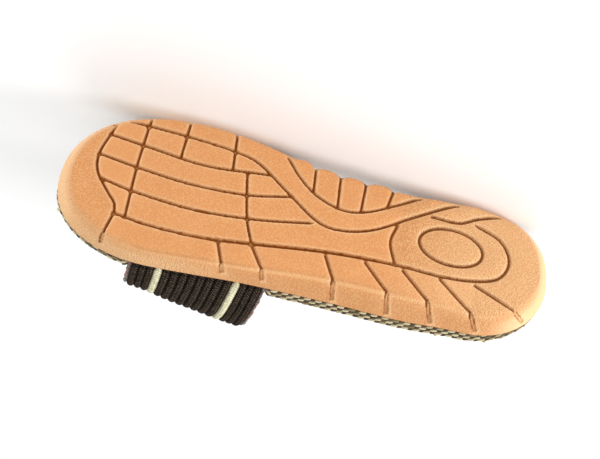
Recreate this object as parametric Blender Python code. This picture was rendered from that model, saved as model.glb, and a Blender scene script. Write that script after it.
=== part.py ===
# A woven slide sandal for the right foot, lying on its inner side.
# Shoe axes, in millimetres: along runs from heel to toe, across from the outer (lateral, negative)
# to the inner (medial, positive) edge, and up from the tread to the strap.

import math
from collections import namedtuple

import bmesh
import bpy
from mathutils import Matrix, Vector

# The tables below are drawn for a sole of LAST_LENGTH and graded to SIZE_LENGTH
SIZE_LENGTH = 270.0
LAST_LENGTH = 263.0
UNIT = 0.001 * SIZE_LENGTH / LAST_LENGTH

# Sole
HEEL_ROUND = 42.0           # length of the half oval that ends the heel
TOE_ROUND = 58.0            # length of the half oval that ends the toe
TOE_SQUARENESS_LATERAL = 2.12      # exponents of the end ovals: 2 is an ellipse, more is squarer
TOE_SQUARENESS_MEDIAL = 2.3
HEEL_SQUARENESS_LATERAL = 2.0
HEEL_SQUARENESS_MEDIAL = 2.5
HEEL_UNDERCUT = 6.0         # how far the tread stops short of the heel's rim
TOE_UNDERCUT = 6.0
EDGE_HEIGHT_HEEL = 9.0      # tread to rim
EDGE_HEIGHT_TOE = 10.3
CREST_HEIGHT = 1.5          # rounded corner between tread and side wall
CREST_WIDTH = 3.0
RIM_ROUND = 0.8
TOE_SPRING = 11.0
TOE_SPRING_START = 150.0
HEEL_ROLL = 1.2
HEEL_ROLL_START = 28.0
ARCH_LIFT = 2.0
ARCH_CENTRE = 112.0
ARCH_REACH = 32.0
ARCH_INNER = 8.0            # the arch starts to lift here, across
ARCH_WIDTH = 22.0
WALL_BULGE = 1.25           # above 1 the side wall is convex
WALL_LEVELS = (0.0, 0.35, 0.7, 0.92)
SOLE_STATIONS = 40
TREAD_COLUMNS = 9
TOP_COLUMNS = 5

# Rim and side wall: rim edges, and how far the wall flares out below each rim
EdgeRow = namedtuple("EdgeRow", "along lateral medial")
EDGE_ROWS = [
    EdgeRow(42, -40.3, 37.4),
    EdgeRow(75, -42.4, 35.4),
    EdgeRow(105, -42.4, 34.9),
    EdgeRow(130, -42.8, 36.2),
    EdgeRow(160, -43.9, 41.8),
    EdgeRow(185, -45.4, 45.45),
    EdgeRow(205, -45.9, 46.25),
]
FlareRow = namedtuple("FlareRow", "along lateral medial")
FLARE_ROWS = [
    FlareRow(0, 4.2, 4.0),
    FlareRow(20, 5.6, 4.0),
    FlareRow(50, 9.2, 4.0),
    FlareRow(90, 9.8, 4.0),
    FlareRow(130, 7.6, 4.0),
    FlareRow(160, 4.6, 4.0),
    FlareRow(190, 3.8, 4.0),
    FlareRow(230, 2.8, 4.5),
    FlareRow(263, 3.4, 5.0),
]

# Tread grooves, as (along, across) points that a smooth curve runs through
GROOVE_WIDTH = 2.0
GROOVE_DEPTH = 1.6
GROOVE_STEP = 6.0
GROOVE_FLOOR = 0.6          # floor's width as a share of the groove's
GROOVE_MOUTH = 1.25         # and the cutter's width above the tread
CUTTER_ABOVE = 1.5          # how far a cutter stands out of what it cuts
DEPTH_STAGGER = 0.03        # unlike depths keep crossing floors apart
TOE_CAP_DEEPER = 0.2
WALL_GROOVE_DEEPER = 0.27
GrooveRow = namedtuple("GrooveRow", "name points")
TREAD_GROOVES = [
    GrooveRow("rib_inner", [(238, 35), (203, 32), (177, 29)]),
    GrooveRow("rib_mid_inner", [(244, 24.5), (222, 20.5), (190, 16), (157, 19.5)]),
    GrooveRow("rib_middle", [(246, 11), (222, 6), (194, 2.5), (166, 3.8), (143, 9.5)]),
    GrooveRow("rib_mid_outer", [(242, -4), (222, -9), (191, -12.5), (160, -10), (127, -2.8)]),
    GrooveRow("rib_outer", [(230, -24), (210, -27.5), (185, -28), (158, -24.5), (119, -18), (83, -15)]),
    GrooveRow("heel_loop", [(83, -15), (60, -15), (42, -13), (28, -7.5), (23, 4), (29, 15.5), (44, 21)]),
    GrooveRow("ball_bar", [(224, -25.5), (225, 6.5), (224.5, 33)]),
    GrooveRow("waist_bar", [(158, -24.5), (163, -10.5), (167, 10), (168, 17)]),
    GrooveRow("wave_outer", [(177, 29), (163, 25), (145, 11.5), (128, -1.5), (113, -3), (97, 2.5),
                             (80, 15), (64, 26), (54, 32)]),
    GrooveRow("wave_inner", [(149, 34), (140, 23), (129, 14), (115, 9.5), (102, 12.5), (88, 21.5),
                             (74, 31)]),
    GrooveRow("heel_bar", [(85, 9), (87.3, -2), (83, -15)]),
    GrooveRow("heel_step", [(70, 20), (53, 20.5), (43, 26), (28, 31)]),
]
HEEL_PAD_CENTRE = (55.0, 3.2)
HEEL_PAD_SIZE = (17.3, 11.0)
HEEL_PAD_POINTS = 20

# Grooves that run over the edge of the tread on to a side wall: a tread point, where the groove
# crosses the crest, and where it ends on the wall
WallGrooveRow = namedtuple("WallGrooveRow", "name side along across crest_along end_along end_level")
WALL_GROOVES = [
    WallGrooveRow("toe_cap_outer", "lateral", 230, -24, 232.5, 229.5, 0.55),
    WallGrooveRow("ball_side", "lateral", 175, -27.5, 170.5, 168, 0.5),
    WallGrooveRow("waist_side", "lateral", 158, -24.5, 149.8, 148, 0.53),
    WallGrooveRow("shank_side", "lateral", 120, -18.5, 113, 112, 0.72),
    WallGrooveRow("shank_side_rear", "lateral", 100, -16.5, 84.6, 84.3, 0.74),
    WallGrooveRow("heel_side_front", "lateral", 80, -15.5, 63, 62, 0.74),
    WallGrooveRow("heel_side", "lateral", 60, -15, 39.9, 39, 0.74),
    WallGrooveRow("heel_corner", "lateral", 41, -13.5, 16.8, 15.4, 0.7),
    WallGrooveRow("toe_cap_inner", "medial", 243, 24.5, 241, 241, 0.45),
    WallGrooveRow("ball_inner", "medial", 224.5, 33, 224, 224, 0.45),
    WallGrooveRow("lug_inner_front", "medial", 204, 18, 203.5, 203.5, 0.45),
    WallGrooveRow("lug_inner_rear", "medial", 176, 17, 178, 178, 0.45),
    WallGrooveRow("arch_front", "medial", 132, 16.5, 133, 133, 0.6),
    WallGrooveRow("arch_mid_front", "medial", 118, 10, 119, 119, 0.6),
    WallGrooveRow("arch_mid_rear", "medial", 105.5, 12, 105, 105, 0.6),
    WallGrooveRow("arch_rear", "medial", 92, 19, 90, 90, 0.6),
]
WALL_GROOVE_SHARES = (0.4, 1.0)    # points on the wall, as shares of the groove's way up it
TOE_CAP = [(243, 24.5), (246, 11), (244, 0), (236.5, -11), (231, -18), (230, -24)]

# Footbed
FIT_GAP = 0.3
FOOTBED_THICKNESS_HEEL = 8.3
FOOTBED_THICKNESS_TOE = 5.6
FOOTBED_INSET_END = 1.4
InsetRow = namedtuple("InsetRow", "along lateral medial")
INSET_ROWS = [                  # behind the rim, and on the inner side clear of the floor
    InsetRow(0, 2.0, 2.2),
    InsetRow(20, 1.6, 2.2),
    InsetRow(45, 0.3, 2.2),
    InsetRow(150, 0.3, 2.2),
    InsetRow(216, 1.2, 2.2),
    InsetRow(245, 2.0, 2.2),
]
FOOTBED_ROUND = 1.0
FOOTBED_BEVEL = 0.3         # share of the round that is left at its middle
FOOTBED_TAB_SHARE = 0.6     # where the strap's tabs would end, from the middle to an edge
FOOTBED_STATIONS = 36
NOTCH_SLACK = 0.15          # spare room round the strap's tabs
NOTCH_LENGTH = 0.1          # a notch opens over this length
NOTCH_SPACING = 2.0         # and no other station is nearer than this

# Strap: a lining wall with sixteen cords raised on it, tucked in under the footbed
CORD_COUNT = 16
CORD_PITCH = 4.2
CORD_RELIEF = 1.4
STRAP_WALL = 1.6
STRAP_BORDER = 2.0          # bare lining in front of the first cord and behind the last
STRAP_REAR = 145.0          # along, at the sole
STRAP_LENGTH = CORD_COUNT * CORD_PITCH + 2 * STRAP_BORDER
STRAP_FOLD = 2.4            # radius of the bend at the sole's rim
STRAP_INSET = 0.9           # lining's face behind the rim, on the outer side
TAB_END_LATERAL = -31.0
TAB_END_MEDIAL = 26.0
STRAP_CENTRE = -2.0         # across, at the top of the arch
STRAP_ARCH_POINTS = 20
ARCH_SAMPLES = 160          # fine steps that the arch's points are spaced on
TAB_ROWS = 4                # rows of points in each tab and its bend
CORD_TAPER_ROWS = 3         # the cords flatten over these rows where they are tucked in
LATERAL_ROUNDNESS = 2.0     # exponents of the arch: 2 is an ellipse, more is squarer
MEDIAL_ROUNDNESS = 3.0
ArchRow = namedtuple("ArchRow", "place height lateral_bulge lean medial_inset")
ARCH_ROWS = [
    ArchRow(0.0, 49.9, 14.5, 9.0, 0.9),
    ArchRow(0.5, 42.8, 11.0, 6.2, 3.7),
    ArchRow(1.0, 35.7, 7.0, 1.4, 3.4),
]
CORD_SHAPE = ((0.0, 0.0), (0.28, 1.0), (0.72, 1.0))   # (share of the pitch, share of the relief)
LINING_COLUMN_SKIP = 5

# Lying on the inner side
LEAN_DEG = 9.0              # the tread looks up by this much
TURN_DEG = 3.25             # so that heel and ball both reach the floor
FLOOR_TRIM = 0.5            # flat worn on what touches the floor
FLOOR_BLOCK = (0.5, 0.5, 0.1)      # in metres

# Joining points, in metres
MERGE_DISTANCE = 0.00002
SLIVER_LENGTH = 0.00001

# Finishes: base colour and roughness
FinishRow = namedtuple("FinishRow", "name colour roughness")
FOAM = FinishRow("moulded_foam", (0.72, 0.40, 0.22), 0.55)
FOOTBED_WEAVE = FinishRow("woven_footbed", (0.42, 0.35, 0.22), 0.85)
RIBBON = FinishRow("corded_ribbon", (0.045, 0.03, 0.025), 0.8)


def smooth_row(rows, along):
    # Values of a table between its rows, as a smooth curve with level ends
    if along <= rows[0][0]:
        return rows[0][1:]
    if along >= rows[-1][0]:
        return rows[-1][1:]
    i = next(k for k in range(len(rows) - 1) if along <= rows[k + 1][0])
    span = rows[i + 1][0] - rows[i][0]
    t = (along - rows[i][0]) / span
    values = []
    for column in range(1, len(rows[0])):
        slopes = []
        for k in (i, i + 1):
            if 0 < k < len(rows) - 1:
                reach = rows[k + 1][0] - rows[k - 1][0]
                slopes.append((rows[k + 1][column] - rows[k - 1][column]) / reach)
            else:
                slopes.append(0.0)
        a, b = rows[i][column], rows[i + 1][column]
        values.append(a * (2 * t ** 3 - 3 * t ** 2 + 1) + b * (3 * t ** 2 - 2 * t ** 3)
                      + span * (slopes[0] * (t ** 3 - 2 * t ** 2 + t) + slopes[1] * (t ** 3 - t ** 2)))
    return values


def ease(t):
    t = min(max(t, 0.0), 1.0)
    return t * t * (3 - 2 * t)


def rim_edges(along):
    # Lateral and medial edge of the rim; the ends close as half ovals
    lateral, medial = smooth_row(EDGE_ROWS, along)
    middle = (lateral + medial) / 2
    toe_start = LAST_LENGTH - TOE_ROUND
    share = 0.0
    squareness = (TOE_SQUARENESS_LATERAL, TOE_SQUARENESS_MEDIAL)
    if along < HEEL_ROUND:
        share = (HEEL_ROUND - along) / HEEL_ROUND
        squareness = (HEEL_SQUARENESS_LATERAL, HEEL_SQUARENESS_MEDIAL)
    elif along > toe_start:
        share = (along - toe_start) / TOE_ROUND
    widths = [max(0.0, 1.0 - share ** power) ** (1 / power) for power in squareness]
    return middle + (lateral - middle) * widths[0], middle + (medial - middle) * widths[1]


def spring(along):
    toe = max(0.0, (along - TOE_SPRING_START) / (LAST_LENGTH - TOE_SPRING_START))
    return TOE_SPRING * toe * toe


def tread_up(along, across):
    roll = max(0.0, (HEEL_ROLL_START - along) / HEEL_ROLL_START)
    arch = ARCH_LIFT * math.exp(-((along - ARCH_CENTRE) / ARCH_REACH) ** 2)
    return spring(along) + HEEL_ROLL * roll * roll + arch * ease((across - ARCH_INNER) / ARCH_WIDTH)


def rim_up(along):
    share = along / LAST_LENGTH
    return EDGE_HEIGHT_HEEL + (EDGE_HEIGHT_TOE - EDGE_HEIGHT_HEEL) * share + spring(along)


def wall_point(place, level, side):
    # Side wall: place 0 to 1 from heel to toe, level 0 at the crest and 1 at the rim
    rim_along = place * LAST_LENGTH
    foot_along = HEEL_UNDERCUT + place * (LAST_LENGTH - HEEL_UNDERCUT - TOE_UNDERCUT)
    draw_in = (1 - level) ** WALL_BULGE
    along = rim_along + (foot_along - rim_along) * draw_in
    lateral, medial = rim_edges(rim_along)
    middle = (lateral + medial) / 2
    flare = smooth_row(FLARE_ROWS, rim_along)
    straight = smooth_row(EDGE_ROWS, rim_along)
    half_width = (straight[1] - straight[0]) / 2
    if side == "lateral":
        across = lateral + flare[0] * draw_in * (middle - lateral) / half_width
    else:
        across = medial - flare[1] * draw_in * (medial - middle) / half_width
    crest_up = tread_up(along, across) + CREST_HEIGHT
    return Vector((along, across, crest_up + (rim_up(along) - RIM_ROUND - crest_up) * level))


def wall_normal(place, level, side):
    onward, upward = 0.004, 0.02       # small steps along and up the wall
    here = wall_point(place, level, side)
    ahead = wall_point(place + onward, level, side) - here
    higher = wall_point(place, level + upward, side) - here
    normal = ahead.cross(higher) if side == "lateral" else higher.cross(ahead)
    return normal.normalized()


def wall_place(along):
    return (along - HEEL_UNDERCUT) / (LAST_LENGTH - HEEL_UNDERCUT - TOE_UNDERCUT)


def lofted(name, sections):
    # A closed skin over rings of equal length; the end rings are capped or have closed to a line
    shape = bmesh.new()
    rings = [[shape.verts.new(Vector(p) * UNIT) for p in section] for section in sections]
    for ring, following in zip(rings, rings[1:]):
        for i in range(len(ring)):
            k = (i + 1) % len(ring)
            shape.faces.new((ring[i], ring[k], following[k], following[i]))
    shape.faces.new(list(reversed(rings[0])))
    shape.faces.new(rings[-1])
    return finished(name, shape)


def finished(name, shape):
    bmesh.ops.remove_doubles(shape, verts=shape.verts, dist=MERGE_DISTANCE)
    bmesh.ops.dissolve_degenerate(shape, edges=shape.edges, dist=SLIVER_LENGTH)
    bmesh.ops.recalc_face_normals(shape, faces=shape.faces)
    mesh = bpy.data.meshes.new(name)
    shape.to_mesh(mesh)
    shape.free()
    return bpy.data.objects.new(name, mesh)


def end_spaced(count):
    return [0.5 - 0.5 * math.cos(math.pi * i / count) for i in range(count + 1)]


def sole_section(place):
    # One ring: along the tread to the outer wall, up it, back over the top and down the inner wall
    crest = {side: wall_point(place, 0.0, side) for side in ("lateral", "medial")}
    width = crest["medial"].y - crest["lateral"].y
    corner = min(CREST_WIDTH, width / 3)
    ring = []
    for i in range(TREAD_COLUMNS):
        t = i / (TREAD_COLUMNS - 1)
        across = crest["medial"].y - corner - (width - 2 * corner) * t
        ring.append((crest["medial"].x, across, tread_up(crest["medial"].x, across)))
    ring += [wall_point(place, level, "lateral") for level in WALL_LEVELS]
    along = place * LAST_LENGTH
    lateral, medial = rim_edges(along)
    top = rim_up(along)
    lip = min(RIM_ROUND, (medial - lateral) / 3)
    ring.append((along, lateral, top - RIM_ROUND))
    for i in range(TOP_COLUMNS):
        t = i / (TOP_COLUMNS - 1)
        ring.append((along, lateral + lip + (medial - lateral - 2 * lip) * t, top))
    ring.append((along, medial, top - RIM_ROUND))
    ring += [wall_point(place, level, "medial") for level in reversed(WALL_LEVELS)]
    return ring


def smooth_path(points, step):
    # Points every step or so on a Catmull-Rom curve through the given ones
    path = []
    for i in range(len(points) - 1):
        a, b = Vector(points[i]), Vector(points[i + 1])
        before = Vector(points[i - 1]) if i else a - (b - a)
        after = Vector(points[i + 2]) if i + 2 < len(points) else b + (b - a)
        count = max(1, round((b - a).length / step))
        for k in range(count):
            t = k / count
            path.append(0.5 * (2 * a + (b - before) * t + (2 * before - 5 * a + 4 * b - after) * t * t
                               + (3 * a - before - 3 * b + after) * t ** 3))
    return path + [Vector(points[-1])]


def groove_cutter(name, path, closed=False, depth=GROOVE_DEPTH):
    # A bar of wedge section along a path of (point, outward normal)
    half = GROOVE_WIDTH / 2
    mouth, floor = GROOVE_MOUTH * half, GROOVE_FLOOR * half
    section = ((-mouth, CUTTER_ABOVE), (mouth, CUTTER_ABOVE), (floor, -depth), (-floor, -depth))
    rings = []
    count = len(path)
    for i, (point, normal) in enumerate(path):
        ahead = path[(i + 1) % count][0] if closed or i + 1 < count else point
        behind = path[i - 1][0] if closed or i else point
        sideways = (ahead - behind).cross(normal).normalized()
        rings.append([point + sideways * a + normal * b for a, b in section])
    if not closed:
        return lofted(name, rings)
    shape = bmesh.new()
    loops = [[shape.verts.new(p * UNIT) for p in ring] for ring in rings]
    for ring, following in zip(loops, loops[1:] + loops[:1]):
        for i in range(len(section)):
            k = (i + 1) % len(section)
            shape.faces.new((ring[i], ring[k], following[k], following[i]))
    return finished(name, shape)


def on_tread(points):
    down = Vector((0, 0, -1))
    return [(Vector((p[0], p[1], tread_up(p[0], p[1]))), down) for p in points]


def over_the_edge(row):
    # Straight over the tread to the crest, then part of the way up the wall
    place = wall_place(row.crest_along)
    crest = wall_point(place, 0.0, row.side)
    share = 1 - CREST_WIDTH / abs(crest.y - row.across)
    inner = [row.along + (row.crest_along - row.along) * share, row.across + (crest.y - row.across) * share]
    path = on_tread([(row.along, row.across), inner])
    low = (wall_normal(place, 0.0, row.side) + Vector((0, 0, -1))).normalized()
    path.append((crest, low))
    end_place = wall_place(row.end_along)
    for share in WALL_GROOVE_SHARES:
        level = row.end_level * share
        here = place + (end_place - place) * share
        path.append((wall_point(here, level, row.side), wall_normal(here, level, row.side)))
    return path


def groove_cutters():
    cutters = []
    for number, row in enumerate(TREAD_GROOVES):
        path = on_tread(smooth_path(row.points, GROOVE_STEP))
        depth = GROOVE_DEPTH + DEPTH_STAGGER * (number % 5)
        cutters.append(groove_cutter("groove_" + row.name, path, depth=depth))
    cutters.append(groove_cutter("groove_toe_cap", on_tread(smooth_path(TOE_CAP, GROOVE_STEP)),
                                 depth=GROOVE_DEPTH + TOE_CAP_DEEPER))
    turns = [2 * math.pi * i / HEEL_PAD_POINTS for i in range(HEEL_PAD_POINTS)]
    pad = [(HEEL_PAD_CENTRE[0] + HEEL_PAD_SIZE[0] * math.cos(a),
            HEEL_PAD_CENTRE[1] + HEEL_PAD_SIZE[1] * math.sin(a)) for a in turns]
    cutters.append(groove_cutter("groove_heel_pad", on_tread(pad), closed=True))
    for number, row in enumerate(WALL_GROOVES):
        depth = GROOVE_DEPTH + WALL_GROOVE_DEEPER + DEPTH_STAGGER * (number % 3)
        cutters.append(groove_cutter("groove_" + row.name, over_the_edge(row), depth=depth))
    return cutters


def strap_range():
    return STRAP_REAR, STRAP_REAR + STRAP_LENGTH


def footbed_section(place, notched):
    # Half rings mirrored by hand, because the two edges and the two notches differ
    along = FOOTBED_INSET_END + place * (LAST_LENGTH - 2 * FOOTBED_INSET_END)
    lateral, medial = rim_edges(min(max(along, 0.0), LAST_LENGTH))
    floor = rim_up(along) + FIT_GAP
    thinning = (FOOTBED_THICKNESS_HEEL - FOOTBED_THICKNESS_TOE) * along / LAST_LENGTH
    top = floor + FOOTBED_THICKNESS_HEEL - thinning
    middle = (lateral + medial) / 2
    step_up = floor
    insets = smooth_row(INSET_ROWS, along)
    edges = [min(lateral + insets[0], middle), max(medial - insets[1], middle)]
    tabs = [middle + (edge - middle) * FOOTBED_TAB_SHARE for edge in edges]
    if notched:
        clear = STRAP_WALL + FIT_GAP + NOTCH_SLACK
        medial_inset = smooth_row(ARCH_ROWS, (along - STRAP_REAR) / STRAP_LENGTH)[3]
        edges = [lateral + STRAP_INSET + clear, medial - medial_inset - clear]
        tabs = [TAB_END_LATERAL + FIT_GAP, TAB_END_MEDIAL - FIT_GAP]
        step_up = floor + clear
    ring = []
    for edge, tab in zip(edges, tabs):
        inward = 1 if edge < middle else -1
        shoulder = min(FOOTBED_ROUND, abs(middle - edge))
        bevel = FOOTBED_BEVEL * shoulder
        half = [(along, tab, floor), (along, tab, step_up), (along, edge, step_up),
                (along, edge, top - shoulder), (along, edge + inward * bevel, top - bevel),
                (along, edge + inward * shoulder, top), (along, (middle + edge) / 2, top)]
        ring += half if inward > 0 else list(reversed(half))
    return ring


def footbed():
    rear, front = strap_range()
    rear, front = rear - 2 * FIT_GAP, front + 2 * FIT_GAP
    usable = LAST_LENGTH - 2 * FOOTBED_INSET_END
    notch_places = [(edge - FOOTBED_INSET_END) / usable for edge in (rear, front)]
    stations = [(place, notch_places[0] < place < notch_places[1]) for place in end_spaced(FOOTBED_STATIONS)
                if min(abs(place - n) for n in notch_places) > NOTCH_SPACING / usable]
    step = NOTCH_LENGTH / usable
    for place, before, after in ((notch_places[0], False, True), (notch_places[1], True, False)):
        stations += [(place - step, before), (place + step, after)]
    return lofted("insole", [footbed_section(place, notched) for place, notched in sorted(stations)])


def evenly(points, count):
    # The same polyline with count points at equal distances along it
    lengths = [0.0]
    for a, b in zip(points, points[1:]):
        lengths.append(lengths[-1] + (b - a).length)
    result = []
    k = 0
    for i in range(count):
        want = lengths[-1] * i / (count - 1)
        while k < len(points) - 2 and lengths[k + 1] < want:
            k += 1
        t = (want - lengths[k]) / (lengths[k + 1] - lengths[k])
        result.append(points[k].lerp(points[k + 1], t))
    return result


def strap_column(distance):
    # The lining's outer face across the foot, from one tab's end to the other's
    place = distance / STRAP_LENGTH
    height, bulge, lean, medial_inset = smooth_row(ARCH_ROWS, place)
    along = STRAP_REAR + distance
    lateral, medial = rim_edges(along)
    floor = rim_up(along) + FIT_GAP
    left = lateral + STRAP_INSET
    right = medial - medial_inset
    start = floor + STRAP_FOLD

    def bend(turn, edge, inward):
        return Vector((along, edge + inward * STRAP_FOLD * (1 - math.sin(turn)),
                       start - STRAP_FOLD * math.cos(turn)))

    turns = (0.0, math.radians(45))
    column = [Vector((along, TAB_END_LATERAL, floor)), Vector((along, (TAB_END_LATERAL + left) / 2, floor))]
    column += [bend(turn, left, 1) for turn in turns]
    arch = []
    for i in range(ARCH_SAMPLES + 1):
        angle = math.pi * i / ARCH_SAMPLES
        c, s = math.cos(angle), math.sin(angle)
        if c > 0:
            power = 2 / LATERAL_ROUNDNESS
            outward = (STRAP_CENTRE - left) * c ** power + bulge * max(0.0, math.sin(2 * angle))
            across = STRAP_CENTRE - outward
        else:
            power = 2 / MEDIAL_ROUNDNESS
            across = STRAP_CENTRE + (right - STRAP_CENTRE) * abs(c) ** power
        arch.append(Vector((along + lean * s, across, start + height * max(0.0, s) ** power)))
    column += evenly(arch, STRAP_ARCH_POINTS)
    column += [bend(turn, right, -1) for turn in reversed(turns)]
    column += [Vector((along, (TAB_END_MEDIAL + right) / 2, floor)), Vector((along, TAB_END_MEDIAL, floor))]
    return column


def strap_columns():
    # (distance from the rear edge, share of the cord's relief)
    columns = [(0.0, 0.0)]
    for cord in range(CORD_COUNT):
        for share, relief in CORD_SHAPE:
            columns.append((STRAP_BORDER + (cord + share) * CORD_PITCH, relief))
    return columns + [(STRAP_LENGTH - STRAP_BORDER, 0.0), (STRAP_LENGTH, 0.0)]


def strap():
    columns = strap_columns()
    face = [strap_column(distance) for distance, _ in columns]
    rows = len(face[0])

    def normal(c, r):
        beside = face[min(c + 1, len(face) - 1)][r] - face[max(c - 1, 0)][r]
        onward = face[c][min(r + 1, rows - 1)] - face[c][max(r - 1, 0)]
        return beside.cross(onward).normalized()

    shape = bmesh.new()
    outer = []
    for c, (_, relief) in enumerate(columns):
        from_end = [min(r, rows - 1 - r) - TAB_ROWS + 2 for r in range(rows)]
        rise = [CORD_RELIEF * relief * ease(n / CORD_TAPER_ROWS) for n in from_end]
        outer.append([shape.verts.new((face[c][r] + normal(c, r) * rise[r]) * UNIT) for r in range(rows)])
    last = len(columns) - 1
    kept = sorted(set(range(0, last, LINING_COLUMN_SKIP)) | {1, last - 1, last})
    inner = []
    for c in kept:
        inner.append([shape.verts.new((face[c][r] - normal(c, r) * STRAP_WALL) * UNIT) for r in range(rows)])
    for skin in (outer, inner):
        for a, b in zip(skin, skin[1:]):
            for r in range(rows - 1):
                shape.faces.new((a[r], b[r], b[r + 1], a[r + 1]))
    for edge in (0, -1):
        for r in range(rows - 1):
            shape.faces.new((outer[edge][r], outer[edge][r + 1], inner[edge][r + 1], inner[edge][r]))
    for end in (0, rows - 1):
        shape.faces.new([column[end] for column in outer] + [column[end] for column in reversed(inner)])
    return finished("strap", shape)


def material(finish):
    surface = bpy.data.materials.new(finish.name)
    surface.use_nodes = True
    principled = surface.node_tree.nodes["Principled BSDF"]
    principled.inputs["Base Color"].default_value = (*finish.colour, 1.0)
    principled.inputs["Roughness"].default_value = finish.roughness
    principled.inputs["Metallic"].default_value = 0.0
    return surface


def new_collection(name):
    collection = bpy.data.collections.new(name)
    bpy.context.scene.collection.children.link(collection)
    return collection


def cut(piece, cutter):
    boolean = piece.modifiers.new(cutter.name, "BOOLEAN")
    boolean.operation = "DIFFERENCE"
    boolean.solver = "EXACT"
    boolean.object = cutter


def keep_as_cutter(cutter, collection):
    collection.objects.link(cutter)
    cutter.hide_render = True
    cutter.display_type = "WIRE"


def lying_matrix(pieces):
    # The inner side turns to the floor, and the origin goes under the middle of the box
    turned = (Matrix.Rotation(math.radians(-90 - LEAN_DEG), 4, "X")
              @ Matrix.Rotation(math.radians(-TURN_DEG), 4, "Z"))
    points = [turned @ vertex.co for piece in pieces for vertex in piece.data.vertices]
    low = [min(p[i] for p in points) for i in range(3)]
    high = [max(p[i] for p in points) for i in range(3)]
    shift = Vector((-(low[0] + high[0]) / 2, -(low[1] + high[1]) / 2, -low[2] - FLOOR_TRIM * UNIT))
    return Matrix.Translation(shift) @ turned


def floor_block():
    shape = bmesh.new()
    place = Matrix.Translation((0, 0, -FLOOR_BLOCK[2] / 2)) @ Matrix.Diagonal((*FLOOR_BLOCK, 1))
    bmesh.ops.create_cube(shape, size=1, matrix=place)
    return finished("floor_block", shape)


def main():
    for leftover in list(bpy.data.objects):
        bpy.data.objects.remove(leftover, do_unlink=True)
    parts = new_collection("woven_slide_sandal")
    cutters = new_collection("cutters")

    outsole = lofted("outsole", [sole_section(place) for place in end_spaced(SOLE_STATIONS)])
    insole = footbed()
    upper = strap()
    outsole.data.materials.append(material(FOAM))
    insole.data.materials.append(material(FOOTBED_WEAVE))
    upper.data.materials.append(material(RIBBON))

    lying = bpy.data.objects.new("lying_sandal", None)
    parts.objects.link(lying)
    pieces = [outsole, insole, upper]
    lying.matrix_world = lying_matrix(pieces)
    for piece in pieces:
        parts.objects.link(piece)
        piece.parent = lying
    for cutter in groove_cutters():
        keep_as_cutter(cutter, cutters)
        cutter.parent = lying
        cut(outsole, cutter)
    block = floor_block()
    keep_as_cutter(block, cutters)
    for resting in (outsole, upper):
        cut(resting, block)


main()
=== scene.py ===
# Looks of a woven slide sandal for the right foot, lying on its inner side.
import math

import bmesh
import bpy
import numpy as np
from mathutils import Matrix, Vector


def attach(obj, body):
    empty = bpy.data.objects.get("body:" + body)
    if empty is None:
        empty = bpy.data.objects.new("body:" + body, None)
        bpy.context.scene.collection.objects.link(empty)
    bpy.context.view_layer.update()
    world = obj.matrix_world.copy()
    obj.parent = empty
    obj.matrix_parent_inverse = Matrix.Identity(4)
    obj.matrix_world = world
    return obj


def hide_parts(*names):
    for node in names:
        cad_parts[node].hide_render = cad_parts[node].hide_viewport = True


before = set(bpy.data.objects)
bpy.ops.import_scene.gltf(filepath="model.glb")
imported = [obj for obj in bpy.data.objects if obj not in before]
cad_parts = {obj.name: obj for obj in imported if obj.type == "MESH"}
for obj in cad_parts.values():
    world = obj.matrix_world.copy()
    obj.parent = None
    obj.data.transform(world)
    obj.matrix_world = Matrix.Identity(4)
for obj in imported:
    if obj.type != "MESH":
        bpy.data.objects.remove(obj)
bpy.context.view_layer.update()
print("frame loaded:", sorted(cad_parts))

# The shoe's own axes, in millimetres: along (heel to toe), across (outer to inner edge), up (tread to strap).
# Its tables are drawn for a sole of lastLength and graded to sizeLength.
shoe = {
    "lastLength": 263.0,
    "sizeLength": 270.0,
    "leanDeg": 9.0,  # the tread looks up by this much
    "turnDeg": 3.25,
    "heelAt": (-0.134760, -0.031480, 0.036691),  # the shoe's origin in the frame, in metres
}
unit = 0.001 * shoe["sizeLength"] / shoe["lastLength"]
lying = (Matrix.Translation(shoe["heelAt"])
         @ Matrix.Rotation(math.radians(-90 - shoe["leanDeg"]), 4, "X")
         @ Matrix.Rotation(math.radians(-shoe["turnDeg"]), 4, "Z"))
lyingTurn = np.array(lying.to_3x3())
lyingShift = np.array(lying.translation)


def toFrame(points):
    return (np.asarray(points, float) * unit) @ lyingTurn.T + lyingShift


def turnToFrame(vectors):
    return np.asarray(vectors, float) @ lyingTurn.T


def onFloor(points):
    # What lies on the floor is pressed flat there
    points[..., 2] = np.maximum(points[..., 2], 0.0)
    return points


def ease(t):
    t = np.clip(t, 0.0, 1.0)
    return t * t * (3 - 2 * t)


def ramp(value, zeroAt, oneAt):
    # Eases from 0 to 1 between two places, either way round
    return ease((value - zeroAt) / (oneAt - zeroAt))


def ridge(value, middle, width):
    return np.exp(-((value - middle) / width) ** 2)


def unitVectors(vectors):
    length = np.linalg.norm(vectors, axis=-1, keepdims=True)
    return vectors / np.maximum(length, 1e-12)


def smoothRows(rows, along):
    # A table's columns between its rows, as smooth curves with level ends
    table = np.array(rows, float)
    keys, values = table[:, 0], table[:, 1:]
    slopes = np.zeros_like(values)
    slopes[1:-1] = (values[2:] - values[:-2]) / (keys[2:] - keys[:-2])[:, None]
    along = np.clip(np.asarray(along, float), keys[0], keys[-1])
    i = np.clip(np.searchsorted(keys, along) - 1, 0, len(keys) - 2)
    span = (keys[i + 1] - keys[i])[..., None]
    t = (along - keys[i])[..., None] / span
    between = values[i] * (2 * t ** 3 - 3 * t ** 2 + 1) + values[i + 1] * (3 * t ** 2 - 2 * t ** 3)
    bend = slopes[i] * (t ** 3 - 2 * t ** 2 + t) + slopes[i + 1] * (t ** 3 - t ** 2)
    return np.moveaxis(between + span * bend, -1, 0)


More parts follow.
